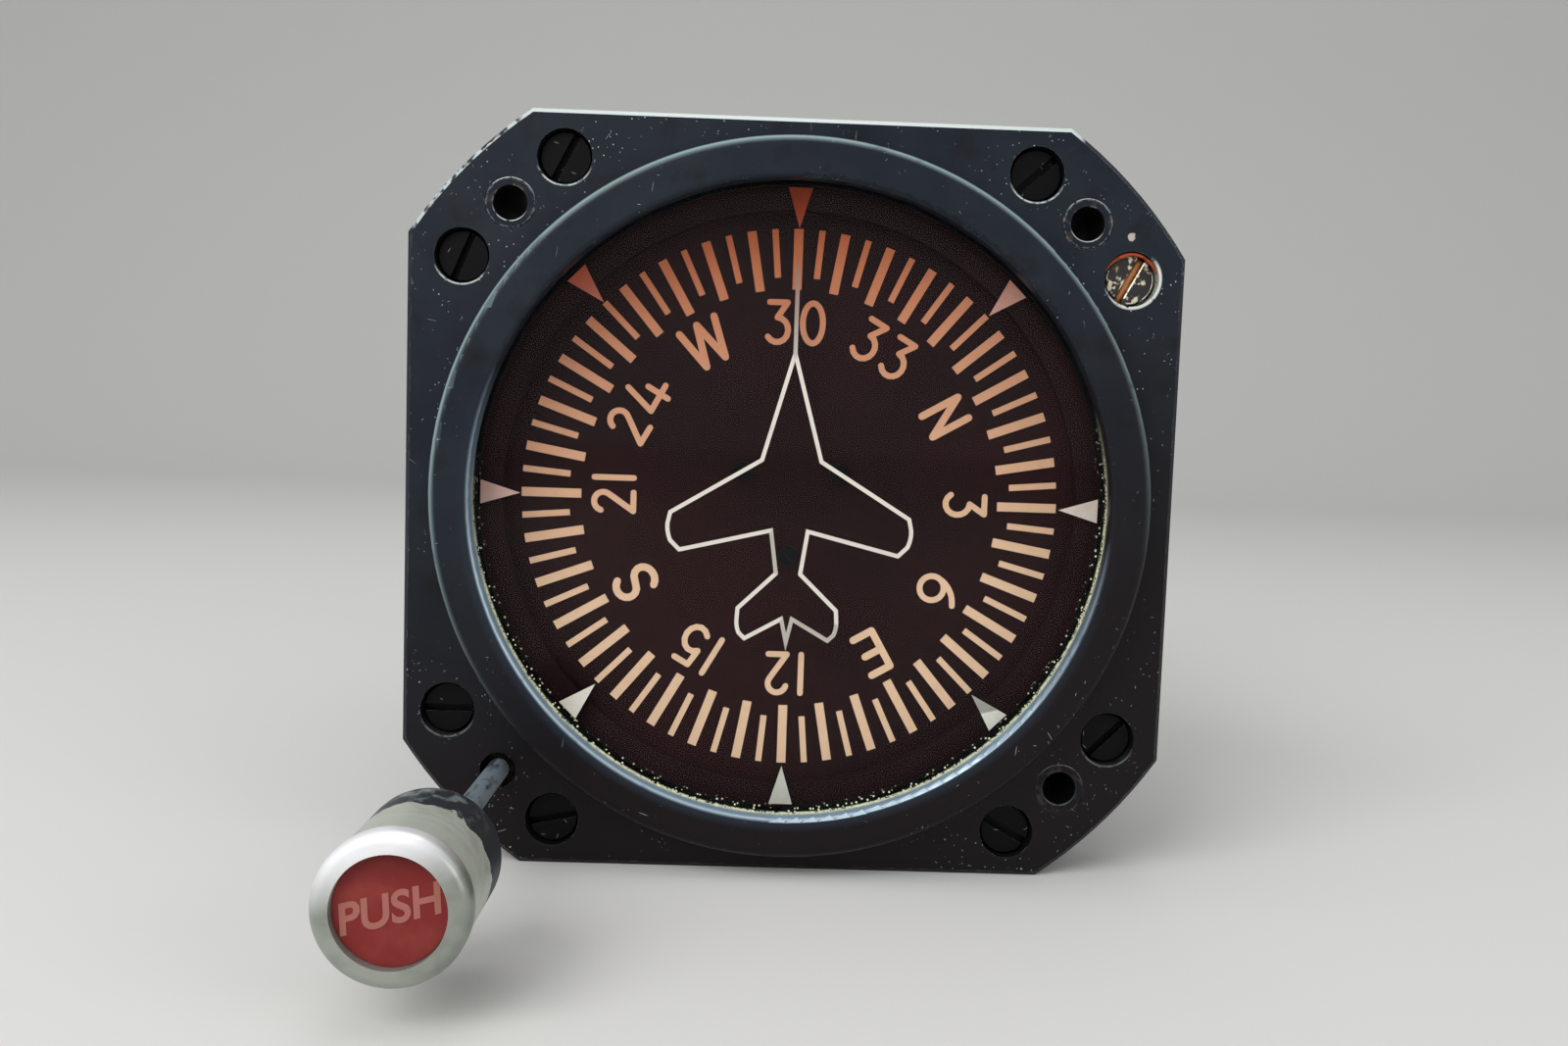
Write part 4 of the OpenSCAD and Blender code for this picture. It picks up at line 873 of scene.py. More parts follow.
@dataclass(frozen=True)
class KnobAluminium:
    """Turned aluminium knob: satin body with lathe lines, black paint left at the back, a polished lip in painted
    shade with a painted highlight on its upper side.
    """

    satin: str = "#bcc2b6"
    line: str = "#9a9a8e"
    soiled: str = "#8a897e"
    # painted shade over the lip
    shade: str = "#999e96"
    cloud: str = "#7b8077"
    # painted highlight on the lip's upper side
    bright: str = "#f2f2f4"
    paint: str = "#1c2129"
    # bare metal in chips of the paint, shown only on the lit side: partly real chips, partly painted highlight
    chip: str = "#8d9a97"
    front: float = -41.8
    lip: float = 1.9
    paint_front: float = -33.2
    paint_reach: float = 2.4

    def dress(self) -> bpy.types.Material:
        """Makes the knob's metal and the paint left on it.

        Returns:
            The material.
        """
        surface = Surface("turned_aluminium", self.satin, 0.46, 0.35)
        surface.lay((Patches(0.4, 0.5, 0.7, stretch=Cut.TURNED.value), 0.35), self.line)
        surface.lay((Patches(2.6, 0.5, 0.75, 6.0), 0.5), self.soiled, 0.5)
        # painted light: the knob's upper side, which gets the lip's highlight and the chips
        lit = Ramp(-19.0, -15.0, (-0.3, 0.0, 0.954)).on(surface)
        self.polish_lip(surface, lit)
        self.leave_paint(surface, lit)
        surface.raise_by(Relief(0.16, stretch=Cut.TURNED.value, depth=0.008))
        return surface.material

    def polish_lip(self, surface: Surface, lit: Socket) -> None:
        """Polishes the lip: painted shade over all of it, clouded in patches, and a painted highlight on its lit
        upper side.

        Args:
            surface: The knob's surface.
            lit: The mask of the knob's lit side.
        """
        back = self.front + self.lip
        lip = Ramp(back + 0.15, back - 0.15, BACK).on(surface)
        # painted shade over the lip
        surface.lay(lip, self.shade, 0.3, 0.5)
        surface.lay((lip, Patches(5.0, 0.42, 0.66)), self.cloud, 0.34)
        # painted highlight on the lip's upper side
        surface.lay((lip, lit), self.bright, 0.32, 0.3)

    def leave_paint(self, surface: Surface, lit: Socket) -> None:
        """Leaves the paint behind a ragged line, chipped, with the chips shown only on the lit upper side as a
        painted highlight.

        Args:
            surface: The knob's surface.
            lit: The mask of the knob's lit side.
        """
        ragged = Patches(1.9, 0.1, 0.9, 5.0).on(surface)
        moved = add_node(surface.tree, "ShaderNodeMath", {0: ragged, 1: self.paint_reach, 2: surface.along(BACK)},
                         operation="MULTIPLY_ADD")
        painted = add_node(surface.tree, "ShaderNodeMath",
                           {0: moved.outputs[0], 1: self.paint_front + self.paint_reach / 2},
                           operation="GREATER_THAN").outputs[0]
        surface.lay(painted, self.paint, 0.5, 0.0)
        # chips shown only on the lit side, a painted highlight
        surface.lay((painted, Patches(1.8, 0.5, 0.66, 5.0, shift=9.0), lit, 0.7), self.chip, 0.5)


@dataclass(frozen=True)
class ShaftSteel:
    """Long thin steel shaft, dull blue-grey with dark streaks and a painted highlight behind the knob."""

    dull: str = "#84929a"
    # painted highlight behind the knob
    bright: str = "#d3dcdc"
    streak: str = "#353b40"
    highlight_behind_knob: Ramp = Ramp(-20.0, -24.0, BACK)
    streaks: Patches = Patches(1.5, 0.5, 0.6, 5.0, (1.0, 0.35, 1.0))

    def dress(self) -> bpy.types.Material:
        """Makes the shaft's steel.

        Returns:
            The material.
        """
        surface = Surface("dulled_steel", self.dull, 0.42, 0.3)
        # painted highlight behind the knob
        surface.lay(self.highlight_behind_knob, self.bright, 0.34)
        surface.lay(self.streaks, self.streak, 0.5, 0.0)
        surface.raise_by(Relief(0.16, stretch=Cut.TURNED.value, depth=0.006))
        return surface.material


@dataclass(frozen=True)
class DiscEnamel:
    """Red-brown enamel let into the knob, dulled by thumbs, with a painted shadow of the lip darkening its top."""

    colour: str = "#7c2a28"
    rubbed: str = "#8a3a34"
    # painted shadow of the knob's lip across the disc's top
    lip_shadow: str = "#5c1a18"

    def dress(self) -> bpy.types.Material:
        """Makes the enamel disc.

        Returns:
            The material.
        """
        surface = Surface("red_brown_enamel", self.colour, 0.42, gloss=0.15)
        surface.lay(Patches(3.2, 0.45, 0.75), self.rubbed, 0.5)
        # painted shadow of the lip, darker towards the top
        surface.lay(Ramp(-29.5, -26.0), self.lip_shadow)
        surface.raise_by(Relief(0.6, depth=0.005))
        return surface.material


@dataclass(frozen=True)
class CardLacquer:
    """Matt black lacquer on the card, tinted red-brown as a painted reflection and lightly dusted."""

    # painted reflection: a red-brown tint over the black
    colour: str = "#1e0e0f"
    brown: str = "#260f11"
    speck: str = "#4c4440"

    def dress(self) -> bpy.types.Material:
        """Makes the lacquer of the card.

        Returns:
            The material.
        """
        surface = Surface("matt_black_lacquer", self.colour, 0.6, gloss=0.06)
        surface.lay(Patches(18.0, 0.4, 0.65), self.brown)
        surface.lay(Grains(2.6, 0.05, 0.4), self.speck)
        surface.raise_by(Relief(0.3, depth=0.0006))
        return surface.material


@dataclass(frozen=True)
class MarkingPaint:
    """Screened marking paint, pale, with painted shade and red reflection that turn it dark orange towards the top
    of the dial.
    """

    name: str
    pale: str
    # painted shade: the colour towards the top of the dial
    shaded_top: str
    # where the painted shade lies, rising towards the top
    fade: Ramp = Ramp(-24.0, 32.0, (-0.25, 0.0, 1.0))
    soiled: str = "#6a4a3a"

    def dress(self) -> bpy.types.Material:
        """Makes the paint.

        Returns:
            The material.
        """
        surface = Surface(self.name, self.pale, 0.6, gloss=0.12)
        # painted shade, dark orange towards the top
        surface.lay(self.fade, self.shaded_top)
        surface.lay((Patches(0.9, 0.5, 0.8), 0.1), self.soiled)
        surface.raise_by(Relief(0.2, depth=0.002))
        return surface.material


@dataclass(frozen=True)
class DustyGlass:
    """Float glass, clear and thin, with specks on its face and dust packed round its edge."""

    dust: str = "#e2e3c2"
    clear: str = "#fdfefe"
    straight_gloss: float = 0.004  # what glass this clean throws back straight on
    steepness: float = 5.0  # how sharply that grows with the slant
    seat: float = 34.6

    def dress(self) -> bpy.types.Material:
        """Makes the glass, open to lamps so that the dial behind it is lit.

        Returns:
            The material.
        """
        surface = Surface("clear_float_glass", self.dust, 0.9, gloss=0.1)
        tree = surface.tree
        slant = add_node(tree, "ShaderNodeLayerWeight", {"Blend": 0.5})
        steep = add_node(tree, "ShaderNodeMath", {0: slant.outputs["Facing"], 1: self.steepness}, operation="POWER")
        gloss = add_node(tree, "ShaderNodeMath",
                         {0: steep.outputs[0], 1: 1.0 - self.straight_gloss, 2: self.straight_gloss},
                         operation="MULTIPLY_ADD")
        clear = add_node(tree, "ShaderNodeBsdfTransparent", {"Color": linear(self.clear)})
        shine = add_node(tree, "ShaderNodeBsdfGlossy", {"Color": linear("#ffffff"), "Roughness": 0.02})
        pane = add_node(tree, "ShaderNodeMixShader", {0: gloss.outputs[0], 1: clear.outputs[0], 2: shine.outputs[0]})
        whole = add_node(tree, "ShaderNodeMixShader",
                         {0: self.dirt(surface), 1: pane.outputs[0], 2: surface.shader.outputs[0]})
        tree.links.new(whole.outputs[0], surface.output.inputs["Surface"])
        return surface.material

    def dirt(self, surface: Surface) -> Socket:
        """Strews dirt: packed and strewn along the lower edge, and a few specks all over.

        Args:
            surface: The surface of the glass.

        Returns:
            The mask of where dirt lies.
        """
        low = Ramp(8.0, -8.0, (-0.1, 0.0, 1.0)).on(surface)
        packed = surface.meet(Ring(self.seat - 0.15, self.seat + 0.4, 0.1), low, Patches(0.28, 0.4, 0.5, 5.0))
        strewn = surface.meet(Ring(self.seat - 0.9, self.seat, 0.3), low, Grains(0.3, 0.13, 0.4))
        front = Ramp(-1.7, -1.8, BACK)
        return surface.meet(surface.join(packed, strewn, Grains(2.1, 0.05, 0.4)), front)


@dataclass(frozen=True)
class Sheet:
    """A soft or moulded sheet: rubber, cork or felt, told apart by its grain."""

    name: str
    colour: str
    fleck: str
    grain: float
    depth: float
    roughness: float = 0.8
    gloss: float = 0.4

    def dress(self) -> bpy.types.Material:
        """Makes the sheet material.

        Returns:
            The material.
        """
        surface = Surface(self.name, self.colour, self.roughness, gloss=self.gloss)
        surface.lay(Patches(self.grain, 0.48, 0.6, 4.0), self.fleck)
        surface.raise_by(Relief(self.grain, detail=4.0, depth=self.depth))
        return surface.material


@dataclass(frozen=True)
class SealingLacquer:
    """Brushed sealing lacquer: glossy orange-red with thick and thin places, browner in the slot."""

    colour: str = "#b8461d"
    thin: str = "#6a2c14"
    slot: str = "#a8642c"
    in_slot: Ramp = Ramp(0.95, 1.1, BACK)

    def dress(self) -> bpy.types.Material:
        """Makes the lacquer.

        Returns:
            The material.
        """
        surface = Surface("sealing_lacquer", self.colour, 0.35)
        surface.lay(Patches(0.8, 0.46, 0.62, 5.0), self.thin)
        surface.lay(self.in_slot, self.slot)
        surface.raise_by(Relief(0.5, depth=0.03))
        return surface.material


@dataclass(frozen=True)
class BlankPlate:
    """Rolled aluminium plate with printed rules and empty fields."""

    colour: str = "#b9bbbc"
    rolled: str = "#9c9fa1"
    rule: str = "#23262a"
    middle: float = 60.0
    half_width: float = 17.0
    margin: float = 4.6
    rule_steps: tuple[float, ...] = (-6.6, -2.2, 2.2, 6.6)
    half_rule: float = 0.12
    band: Pair = (8.6, 11.6)

    def dress(self) -> bpy.types.Material:
        """Makes the plate with its rules.

        Returns:
            The material.
        """
        surface = Surface("rolled_aluminium", self.colour, 0.34, 1.0)
        surface.lay(Patches(0.3, 0.45, 0.7, stretch=Cut.ROLLED.value), self.rolled)
        surface.raise_by(Relief(0.2, stretch=Cut.ROLLED.value, depth=0.003))
        reach = self.half_width - self.margin
        wide = Stripe(-reach, reach, 0.03, RIGHT).on(surface)
        for step in self.rule_steps:
            row = self.middle + step
            surface.lay((Stripe(row - self.half_rule, row + self.half_rule, 0.03, BACK), wide), self.rule, 0.5, 0.0)
        start, end = self.band
        surface.lay((Stripe(self.middle + start, self.middle + end, 0.04, BACK), wide), self.rule, 0.5, 0.0)
        return surface.material


def paint(name: str, *materials: bpy.types.Material) -> bpy.types.Object:
    """Gives a node of the frame its materials.

    Args:
        name: The node.
        materials: The finish, and the finish of its broken edges if that differs.

    Returns:
        The node's object.
    """
    node = next(o for o in bpy.data.objects if o.get("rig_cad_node") == name)
    node.data.materials.clear()
    for material in materials:
        node.data.materials.append(material)
    return node


def break_edges(node: bpy.types.Object, width: float, segments: int = 2) -> None:
    """Rounds a node's sharp edges as a deburring tool leaves them, in its last material.

    Args:
        node: The node's object.
        width: The width of the rounding.
        segments: How many faces make a rounding.
    """
    weld = node.modifiers.new("joined_seams", "WELD")
    weld.merge_threshold = SEAM * MM
    flats = node.modifiers.new("flat_faces", "DECIMATE")
    flats.decimate_type = "DISSOLVE"
    flats.angle_limit = FLAT
    bevel = node.modifiers.new("broken_edges", "BEVEL")
    bevel.width = width * MM
    bevel.segments = segments
    bevel.limit_method = "ANGLE"
    bevel.angle_limit = SHARP
    bevel.material = len(node.data.materials) - 1
    bevel.use_clamp_overlap = True
    smooth = node.modifiers.new("even_shading", "WEIGHTED_NORMAL")
    smooth.keep_sharp = False


def new_piece(name: str, mesh: bmesh.types.BMesh, material: bpy.types.Material, body: Body) -> bpy.types.Object:
    """Makes a piece that rides on a body of the frame.

    Args:
        name: The piece's name.
        mesh: Its shape, in metres; it is used up.
        material: Its finish.
        body: The body that it rides on.

    Returns:
        The new object.
    """
    data = bpy.data.meshes.new(name)
    bmesh.ops.recalc_face_normals(mesh, faces=mesh.faces)
    mesh.to_mesh(data)
    mesh.free()
    data.materials.append(material)
    for face in data.polygons:
        face.use_smooth = True
    piece = bpy.data.objects.new(name, data)
    bpy.context.scene.collection.objects.link(piece)
    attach(piece, body.value)
    log.info("made %s: %d faces", name, len(data.polygons))
    return piece


def outward(angle: float) -> Vector:
    """Returns the direction at an angle round Y, from +X towards +Z."""
    return Vector((math.cos(angle), 0, math.sin(angle)))


def oval(middle: Vector, out: Vector, wide: float, deep: float, sides: int = 10) -> list[Vector]:
    """Lays points round an oval.

    Args:
        middle: Its middle.
        out: The direction that it is wide along; it is deep along Y.
        wide: Its half width.
        deep: Its half depth.
        sides: How many points there are.

    Returns:
        The points, in metres.
    """
    return [(middle + out * wide * math.cos(t) + Vector((0, deep * math.sin(t), 0))) * MM
            for t in (TAU * k / sides for k in range(sides))]


def sweep(mesh: bmesh.types.BMesh, rings: Sequence[Sequence[Vector]]) -> None:
    """Joins rings of points into a tube with closed ends.

    Args:
        mesh: The mesh that the tube is added to.
        rings: Rings of equal length, in order.
    """
    made = [[mesh.verts.new(point) for point in ring] for ring in rings]
    for ring, following in zip(made, made[1:]):
        count = len(ring)
        for i in range(count):
            j = (i + 1) % count
            mesh.faces.new((ring[i], ring[j], following[j], following[i]))
    mesh.faces.new(made[0][::-1])
    mesh.faces.new(made[-1])


@dataclass
class PhotographersCamera:
    """The camera at the photograph's place, close in front of the dial and a little above its middle."""

    place: Triple = (-3.482, -139.661, 8.365)
    turn: Triple = (0.077, -0.019, 0.033)
    lens: float = 29.05
    sensor: float = 36.0

    def build(self) -> bpy.types.Object:
        """Makes the camera and hands it to the scene.

        Returns:
            The camera object.
        """
        data = bpy.data.cameras.new("camera")
        data.lens, data.sensor_width = self.lens, self.sensor
        data.clip_start, data.clip_end = 5 * MM, 20.0
        camera = bpy.data.objects.new("camera", data)
        bpy.context.scene.collection.objects.link(camera)
        turn = Vector(self.turn)
        dial_to_view = Matrix(((1, 0, 0), (0, 0, -1), (0, 1, 0)))
        right_down_forward = (Matrix.Rotation(turn.length, 3, turn) @ dial_to_view).transposed()
        pose = (right_down_forward @ Matrix.Diagonal((1, -1, -1))).to_4x4()
        pose.translation = Vector(self.place) * MM
        camera.matrix_world = pose
        bpy.context.scene.camera = camera
        return camera


@dataclass
class Lamp:
    """One soft box: its place and size in metres, and its strength in watts."""

    name: str
    place: Triple
    size: Pair
    watts: float

    def build(self, target: Vector) -> None:
        """Makes the soft box and turns it to a point.

        Args:
            target: The point that it is turned to, in metres.
        """
        data = bpy.data.lights.new(self.name, "AREA")
        data.shape = "RECTANGLE"
        data.size, data.size_y = self.size
        data.energy = self.watts
        lamp = bpy.data.objects.new(self.name, data)
        lamp.location = self.place
        lamp.rotation_euler = (target - Vector(self.place)).to_track_quat("-Z", "Y").to_euler()
        bpy.context.scene.collection.objects.link(lamp)


@dataclass
class Studio:
    """Plain pale floor that curves up into a backdrop, soft boxes and an even sky, all in metres."""

    floor_colour: str = "#d9d8d5"
    half_width: float = 5.0
    front: float = -2.2
    back: float = 1.3
    bend: float = 0.5
    bend_steps: int = 12
    wall: float = 2.2
    sky_colour: str = "#f4f6f8"
    sky: float = 0.62
    seen_sky: float = 0.8
    lit_point: Triple = (0.0, 0.02, 0.0)
    lamps: tuple[Lamp, ...] = (
        Lamp("key_box", (-0.34, -0.42, 0.40), (0.4, 0.4), 2.6),
        Lamp("fill_box", (0.62, -0.42, 0.20), (0.4, 0.4), 0.9),
        Lamp("top_box", (-0.05, 0.05, 0.75), (0.7, 0.35), 1.0),
    )

    def build(self, floor_z: float) -> None:
        """Makes the floor, the lamps and the sky.

        Args:
            floor_z: The height of the floor, in metres.
        """
        self.build_floor(floor_z)
        for lamp in self.lamps:
            lamp.build(Vector(self.lit_point))
        self.build_sky()
        bpy.context.scene.view_settings.view_transform = "Standard"

    def build_sky(self) -> None:
        """Makes the sky, a little paler where the camera, a reflection or the glass sees it."""
        world = bpy.data.worlds.new("studio_sky")
        world.use_nodes = True
        tree = world.node_tree
        tree.nodes.clear()
        rays = add_node(tree, "ShaderNodeLightPath")
        level = self.sky
        for kind in ("Is Camera Ray", "Is Glossy Ray", "Is Transmission Ray"):
            level = add_node(tree, "ShaderNodeMix", {0: rays.outputs[kind], 2: level, 3: self.seen_sky}).outputs[0]
        sky = add_node(tree, "ShaderNodeBackground", {"Color": linear(self.sky_colour), "Strength": level})
        add_node(tree, "ShaderNodeOutputWorld", {"Surface": sky.outputs[0]})
        bpy.context.scene.world = world

    def build_floor(self, floor_z: float) -> None:
        """Makes the floor with its backdrop as one sheet.

        Args:
            floor_z: The height of the floor, in metres.
        """
        turn_start = self.back - self.bend
        line = [(self.front, 0.0), (turn_start, 0.0)]
        line += [(turn_start + self.bend * math.sin(a), self.bend * (1 - math.cos(a)))
                 for a in (math.pi / 2 * i / self.bend_steps for i in range(1, self.bend_steps + 1))]
        line.append((self.back, self.wall))
        mesh = bmesh.new()
        rows = [[mesh.verts.new((x, y, floor_z + z)) for x in (-self.half_width, self.half_width)] for y, z in line]
        for low, high in zip(rows, rows[1:]):
            mesh.faces.new((low[0], low[1], high[1], high[0]))
        data = bpy.data.meshes.new("floor")
        mesh.to_mesh(data)
        mesh.free()
        surface = Surface("matt_paper", self.floor_colour, 0.85)
        surface.raise_by(Relief(1.5))
        data.materials.append(surface.material)
        for face in data.polygons:
            face.use_smooth = True
        floor = bpy.data.objects.new("floor", data)
        bpy.context.scene.collection.objects.link(floor)
        floor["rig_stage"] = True


@dataclass
class FrontBezel:
    """The flange with its raised ring, its bushes and its eight screws."""

    enamel: StovedEnamel = StovedEnamel()
    black_steel: BlackSteel = BlackSteel()
    scarred: ScarredSteel = ScarredSteel()
    bush: WornBush = WornBush()
    lacquer: SealingLacquer = SealingLacquer()
    seal_at: Pair = (36.58, 25.65)
    crescent_from: float = 12.0  # degrees from +X towards +Z
    crescent_to: float = 168.0
    crescent_y: float = 0.55
    crescent_outside: float = 2.98
    crescent_thin: float = 0.03
    crescent_swell: float = 0.25
    crescent_height: float = 1.5  # as a share of its thickness
    crescent_steps: int = 40
    slot_angle: float = 62.0
    slot_y: float = 1.35
    slot_reach: float = 2.55
    slot_half: float = 0.38
    slot_rise: float = 0.16
    slot_ripple: float = 0.03
    slot_steps: int = 12
    slot_profile: tuple[Pair, ...] = ((-1, 0.5), (-1, 0.05), (0, 0.0), (1, 0.05), (1, 0.5))

    def build(self) -> None:
        """Dresses the front and lays the lacquer over the sealed screw."""
        for name, finish, edge in (("front_bezel", self.enamel, 0.2), ("bezel_screws", self.black_steel, 0.06),
                                   ("sealed_screw", self.scarred, 0.16), ("mount_bushings", self.bush, 0.15)):
            break_edges(paint(name, finish.dress(), finish.dress_edges()), edge)
        mesh = bmesh.new()
        sweep(mesh, self.crescent())
        sweep(mesh, self.slot_fill())
        new_piece("sealing_lacquer", mesh, self.lacquer.dress(), Body.CASE)

    def crescent(self) -> list[list[Vector]]:
        """Lays out the crescent of lacquer in the counterbore, thick in its middle.

        Returns:
            The rings of its outline, in order.
        """
        rings = []
        for i in range(self.crescent_steps + 1):
            share = i / self.crescent_steps
            out = outward(math.radians(self.crescent_from + (self.crescent_to - self.crescent_from) * share))
            swell = math.sin(math.pi * share) ** 0.8 * (0.85 + 0.15 * math.sin(9.0 * share + 1.0))
            thick = self.crescent_thin + self.crescent_swell * swell
            middle = Vector((self.seal_at[0], self.crescent_y, self.seal_at[1]))
            rings.append(oval(middle + out * (self.crescent_outside - thick), out, thick,
                              self.crescent_height * thick))
        return rings

    def slot_fill(self) -> list[list[Vector]]:
        """Lays out the lacquer that fills the screw's slot, uneven along it.

        Returns:
            The rings of its outline, in order.
        """
        along = outward(math.radians(self.slot_angle))
        across = Vector((along.z, 0, -along.x))
        centre = Vector((self.seal_at[0], self.slot_y, self.seal_at[1]))
        rings = []
        for i in range(self.slot_steps + 1):
            share = i / self.slot_steps * 2 - 1
            rise = self.slot_rise * (1 - abs(share) ** 3) + self.slot_ripple * math.sin(7 * share)
            middle = centre + along * self.slot_reach * share
            rings.append([(middle + across * self.slot_half * side
                           + Vector((0, -rise * (1 - 0.3 * side * side) + sink, 0))) * MM
                          for side, sink in self.slot_profile])
        return rings


@dataclass
class DialGlass:
    """The cover glass with its printed marks, and what holds it."""

    glass: DustyGlass = DustyGlass()
    # pale cream, with painted shade towards the top
    index_paint: MarkingPaint = MarkingPaint("cream_marking_paint", "#eeebdf", "#ae4a2e")
    # white, with painted shade towards the top
    outline_paint: MarkingPaint = MarkingPaint("white_marking_paint", "#e6dcd2", "#ab6a4e", Ramp(16.5, 28.0))
    rubber: Sheet = Sheet("black_rubber", "#0c0b0b", "#121111", 0.5, 0.005, gloss=0.1)
    # painted reflection: the card's red-brown tint on the black retainer ring
    anodised: Sheet = Sheet("black_anodised_aluminium", "#1f0f10", "#231112", 9.0, 0.0001, 0.6, 0.05)

    def build(self) -> None:
        """Dresses the glass, its marks, its gasket and its ring."""
        for name, finish in (("cover_glass", self.glass), ("index_marks", self.index_paint),
                             ("aeroplane_symbol", self.outline_paint), ("glass_gasket", self.rubber),
                             ("retainer_ring", self.anodised)):
            paint(name, finish.dress())


@dataclass
class CompassCard:
    """The turning card and the train behind it."""

    lacquer: CardLacquer = CardLacquer()
    # peach, with painted shade towards the top
    figures: MarkingPaint = MarkingPaint("orange_marking_paint", "#ecc4a2", "#b85a30",
                                         Ramp(-10.0, 32.0, (-0.1, 0.0, 1.0)))
    fouled: Metal = Metal("fouled_brass", "#2b2620", "#0b0a09", 0.7, Cut.CAST, 0.3, 0.01, 0.8)
    brass: Metal = Metal("free_cutting_brass", "#b3975a", "#7c6236", 0.3, Cut.TURNED)
    brass_pieces: tuple[str, ...] = ("card_hub", "card_gear", "card_bevel_gear", "set_gear", "gimbal_bevel_gear",
                                     "setting_pinion", "balance_nuts", "air_jet")
    steel: Metal = Metal("ground_steel", "#a9acb0", "#84878b", 0.22, Cut.GROUND, 0.12, 0.002, 0.3)
    steel_pieces: tuple[str, ...] = ("card_shaft", "card_bearings", "set_gear_stud", "gimbal_pivots",
                                     "gimbal_bearings", "rotor_frame_pivots", "tilt_bearings", "rotor_axle",
                                     "rotor_bearings", "lever_pin")
    black: BlackSteel = BlackSteel()

    def build(self) -> None:
        """Dresses the card, its marks and its gears."""
        for name, finish in (("compass_card", self.lacquer), ("card_markings", self.figures),
                             ("shaft_bushing", self.fouled)):
            paint(name, finish.dress())
        for names, metal in ((self.brass_pieces, self.brass), (self.steel_pieces, self.steel)):
            material = metal.dress()
            for name in names:
                paint(name, material)
        paint("card_screws", self.black.dress())


@dataclass
class Gyro:
    """The gyro, its gimbals and the frame that carries them."""

    cast: Metal = Metal("die_cast_aluminium", "#a6a9ac", "#808386", 0.42, Cut.CAST, 0.5, 0.02, 0.4)
    bronze: Metal = Metal("gun_metal", "#8d7a55", "#66563a", 0.32)

    def build(self) -> None:
        """Dresses the castings and the rotor."""
        cast = self.cast.dress()
        for name in ("gyro_frame", "outer_gimbal", "rotor_frame"):
            break_edges(paint(name, cast), 0.2)
        break_edges(paint("rotor", self.bronze.dress()), 0.12)


@dataclass
class CagingKnob:
    """The knob, its lettered disc, its shaft and its spring."""

    aluminium: KnobAluminium = KnobAluminium()
    disc: DiscEnamel = DiscEnamel()
    shaft: ShaftSteel = ShaftSteel()
    black: BlackSteel = BlackSteel()
    rubber: Sheet = Sheet("black_rubber", "#161616", "#222222", 0.5, 0.01)
    plated: Metal = Metal("zinc_plated_steel", "#9c9ea0", "#77797b", 0.36, Cut.TURNED, 0.2, 0.004, 0.5)
    plated_pieces: tuple[str, ...] = ("spring_washer", "caging_lever", "frame_screws", "rear_screws",
                                      "filter_screw")
    letters: MarkingPaint = MarkingPaint("worn_letter_paint", "#a2655b", "#a2655b")
    word: str = "PUSH"
    word_at: Pair = (-32.0, -31.2)
    disc_front: float = -41.0
    letter_size: float = 3.6
    letter_slant: float = 0.2
    letter_weight: float = 0.09
    letter_tilt: float = 15.0
    letter_half: float = 0.03
    letter_sunk: float = 0.02
    spring_steel: Metal = Metal("spring_steel", "#8b8f94", "#64676b", 0.3, Cut.GROUND, 0.15, 0.002, 0.4)
    travel: float = 5.0
    shaft_at: Pair = (-31.762, -31.104)
    coil_radius: float = 1.85
    coil_turns: int = 6
    coil_steps: int = 28
    wire_radius: float = 0.22
    spring_front: float = 12.33
    spring_back: float = 20.97

    def build(self) -> None:
        """Dresses the knob, letters its disc and winds its spring."""
        break_edges(paint("caging_knob", self.aluminium.dress()), 0.3, segments=4)
        for name, finish in (("knob_face", self.disc), ("knob_set_screw", self.black), ("knob_shaft", self.shaft),
                             ("shaft_seal", self.rubber)):
            paint(name, finish.dress())
        plated = self.plated.dress()
        for name in self.plated_pieces:
            break_edges(paint(name, plated), 0.08)
        self.letter()
        self.wind_spring()

    def letter(self) -> bpy.types.Object:
        """Makes the word that says how the knob is worked, raised a hair above the disc.

        Returns:
            The lettering.
        """
        text = bpy.data.curves.new("knob_lettering", "FONT")
        text.body = self.word
        text.size = self.letter_size
        text.shear = self.letter_slant
        text.align_x = "CENTER"
        text.align_y = "CENTER"
        text.extrude = self.letter_half
        text.offset = self.letter_weight
        word = bpy.data.objects.new("knob_lettering_curve", text)
        bpy.context.scene.collection.objects.link(word)
        bpy.context.view_layer.update()
        shape = bmesh.new()
        shape.from_mesh(word.to_mesh())
        bpy.data.objects.remove(word)
        stand = Matrix.Rotation(math.radians(90), 4, "X")
        tilt = Matrix.Rotation(math.radians(-self.letter_tilt), 4, "Y")
        x, z = self.word_at
        place = Matrix.Translation(Vector((x, self.disc_front - self.letter_sunk, z)) * MM)
        shape.transform(place @ tilt @ stand @ Matrix.Diagonal((MM, MM, MM, 1)))
        return new_piece("knob_lettering", shape, self.letters.dress(), Body.KNOB)

    def wind_spring(self) -> bpy.types.Object:
        """Winds the return spring, which stays on the case.

        Returns:
            The spring.
        """
        steps = self.coil_steps * self.coil_turns
        start = self.spring_front + self.wire_radius
        length = self.spring_back - self.wire_radius - start
        x, z = self.shaft_at
        rings = []
        for i in range(steps + 1):
            out = outward(TAU * i / self.coil_steps)
            middle = Vector((x, start + length * i / steps, z)) + out * self.coil_radius
            rings.append(oval(middle, out, self.wire_radius, self.wire_radius))
        mesh = bmesh.new()
        sweep(mesh, rings)
        spring = new_piece("knob_return_spring", mesh, self.spring_steel.dress(), Body.CASE)
        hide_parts("return_spring")
        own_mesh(spring)
        return spring


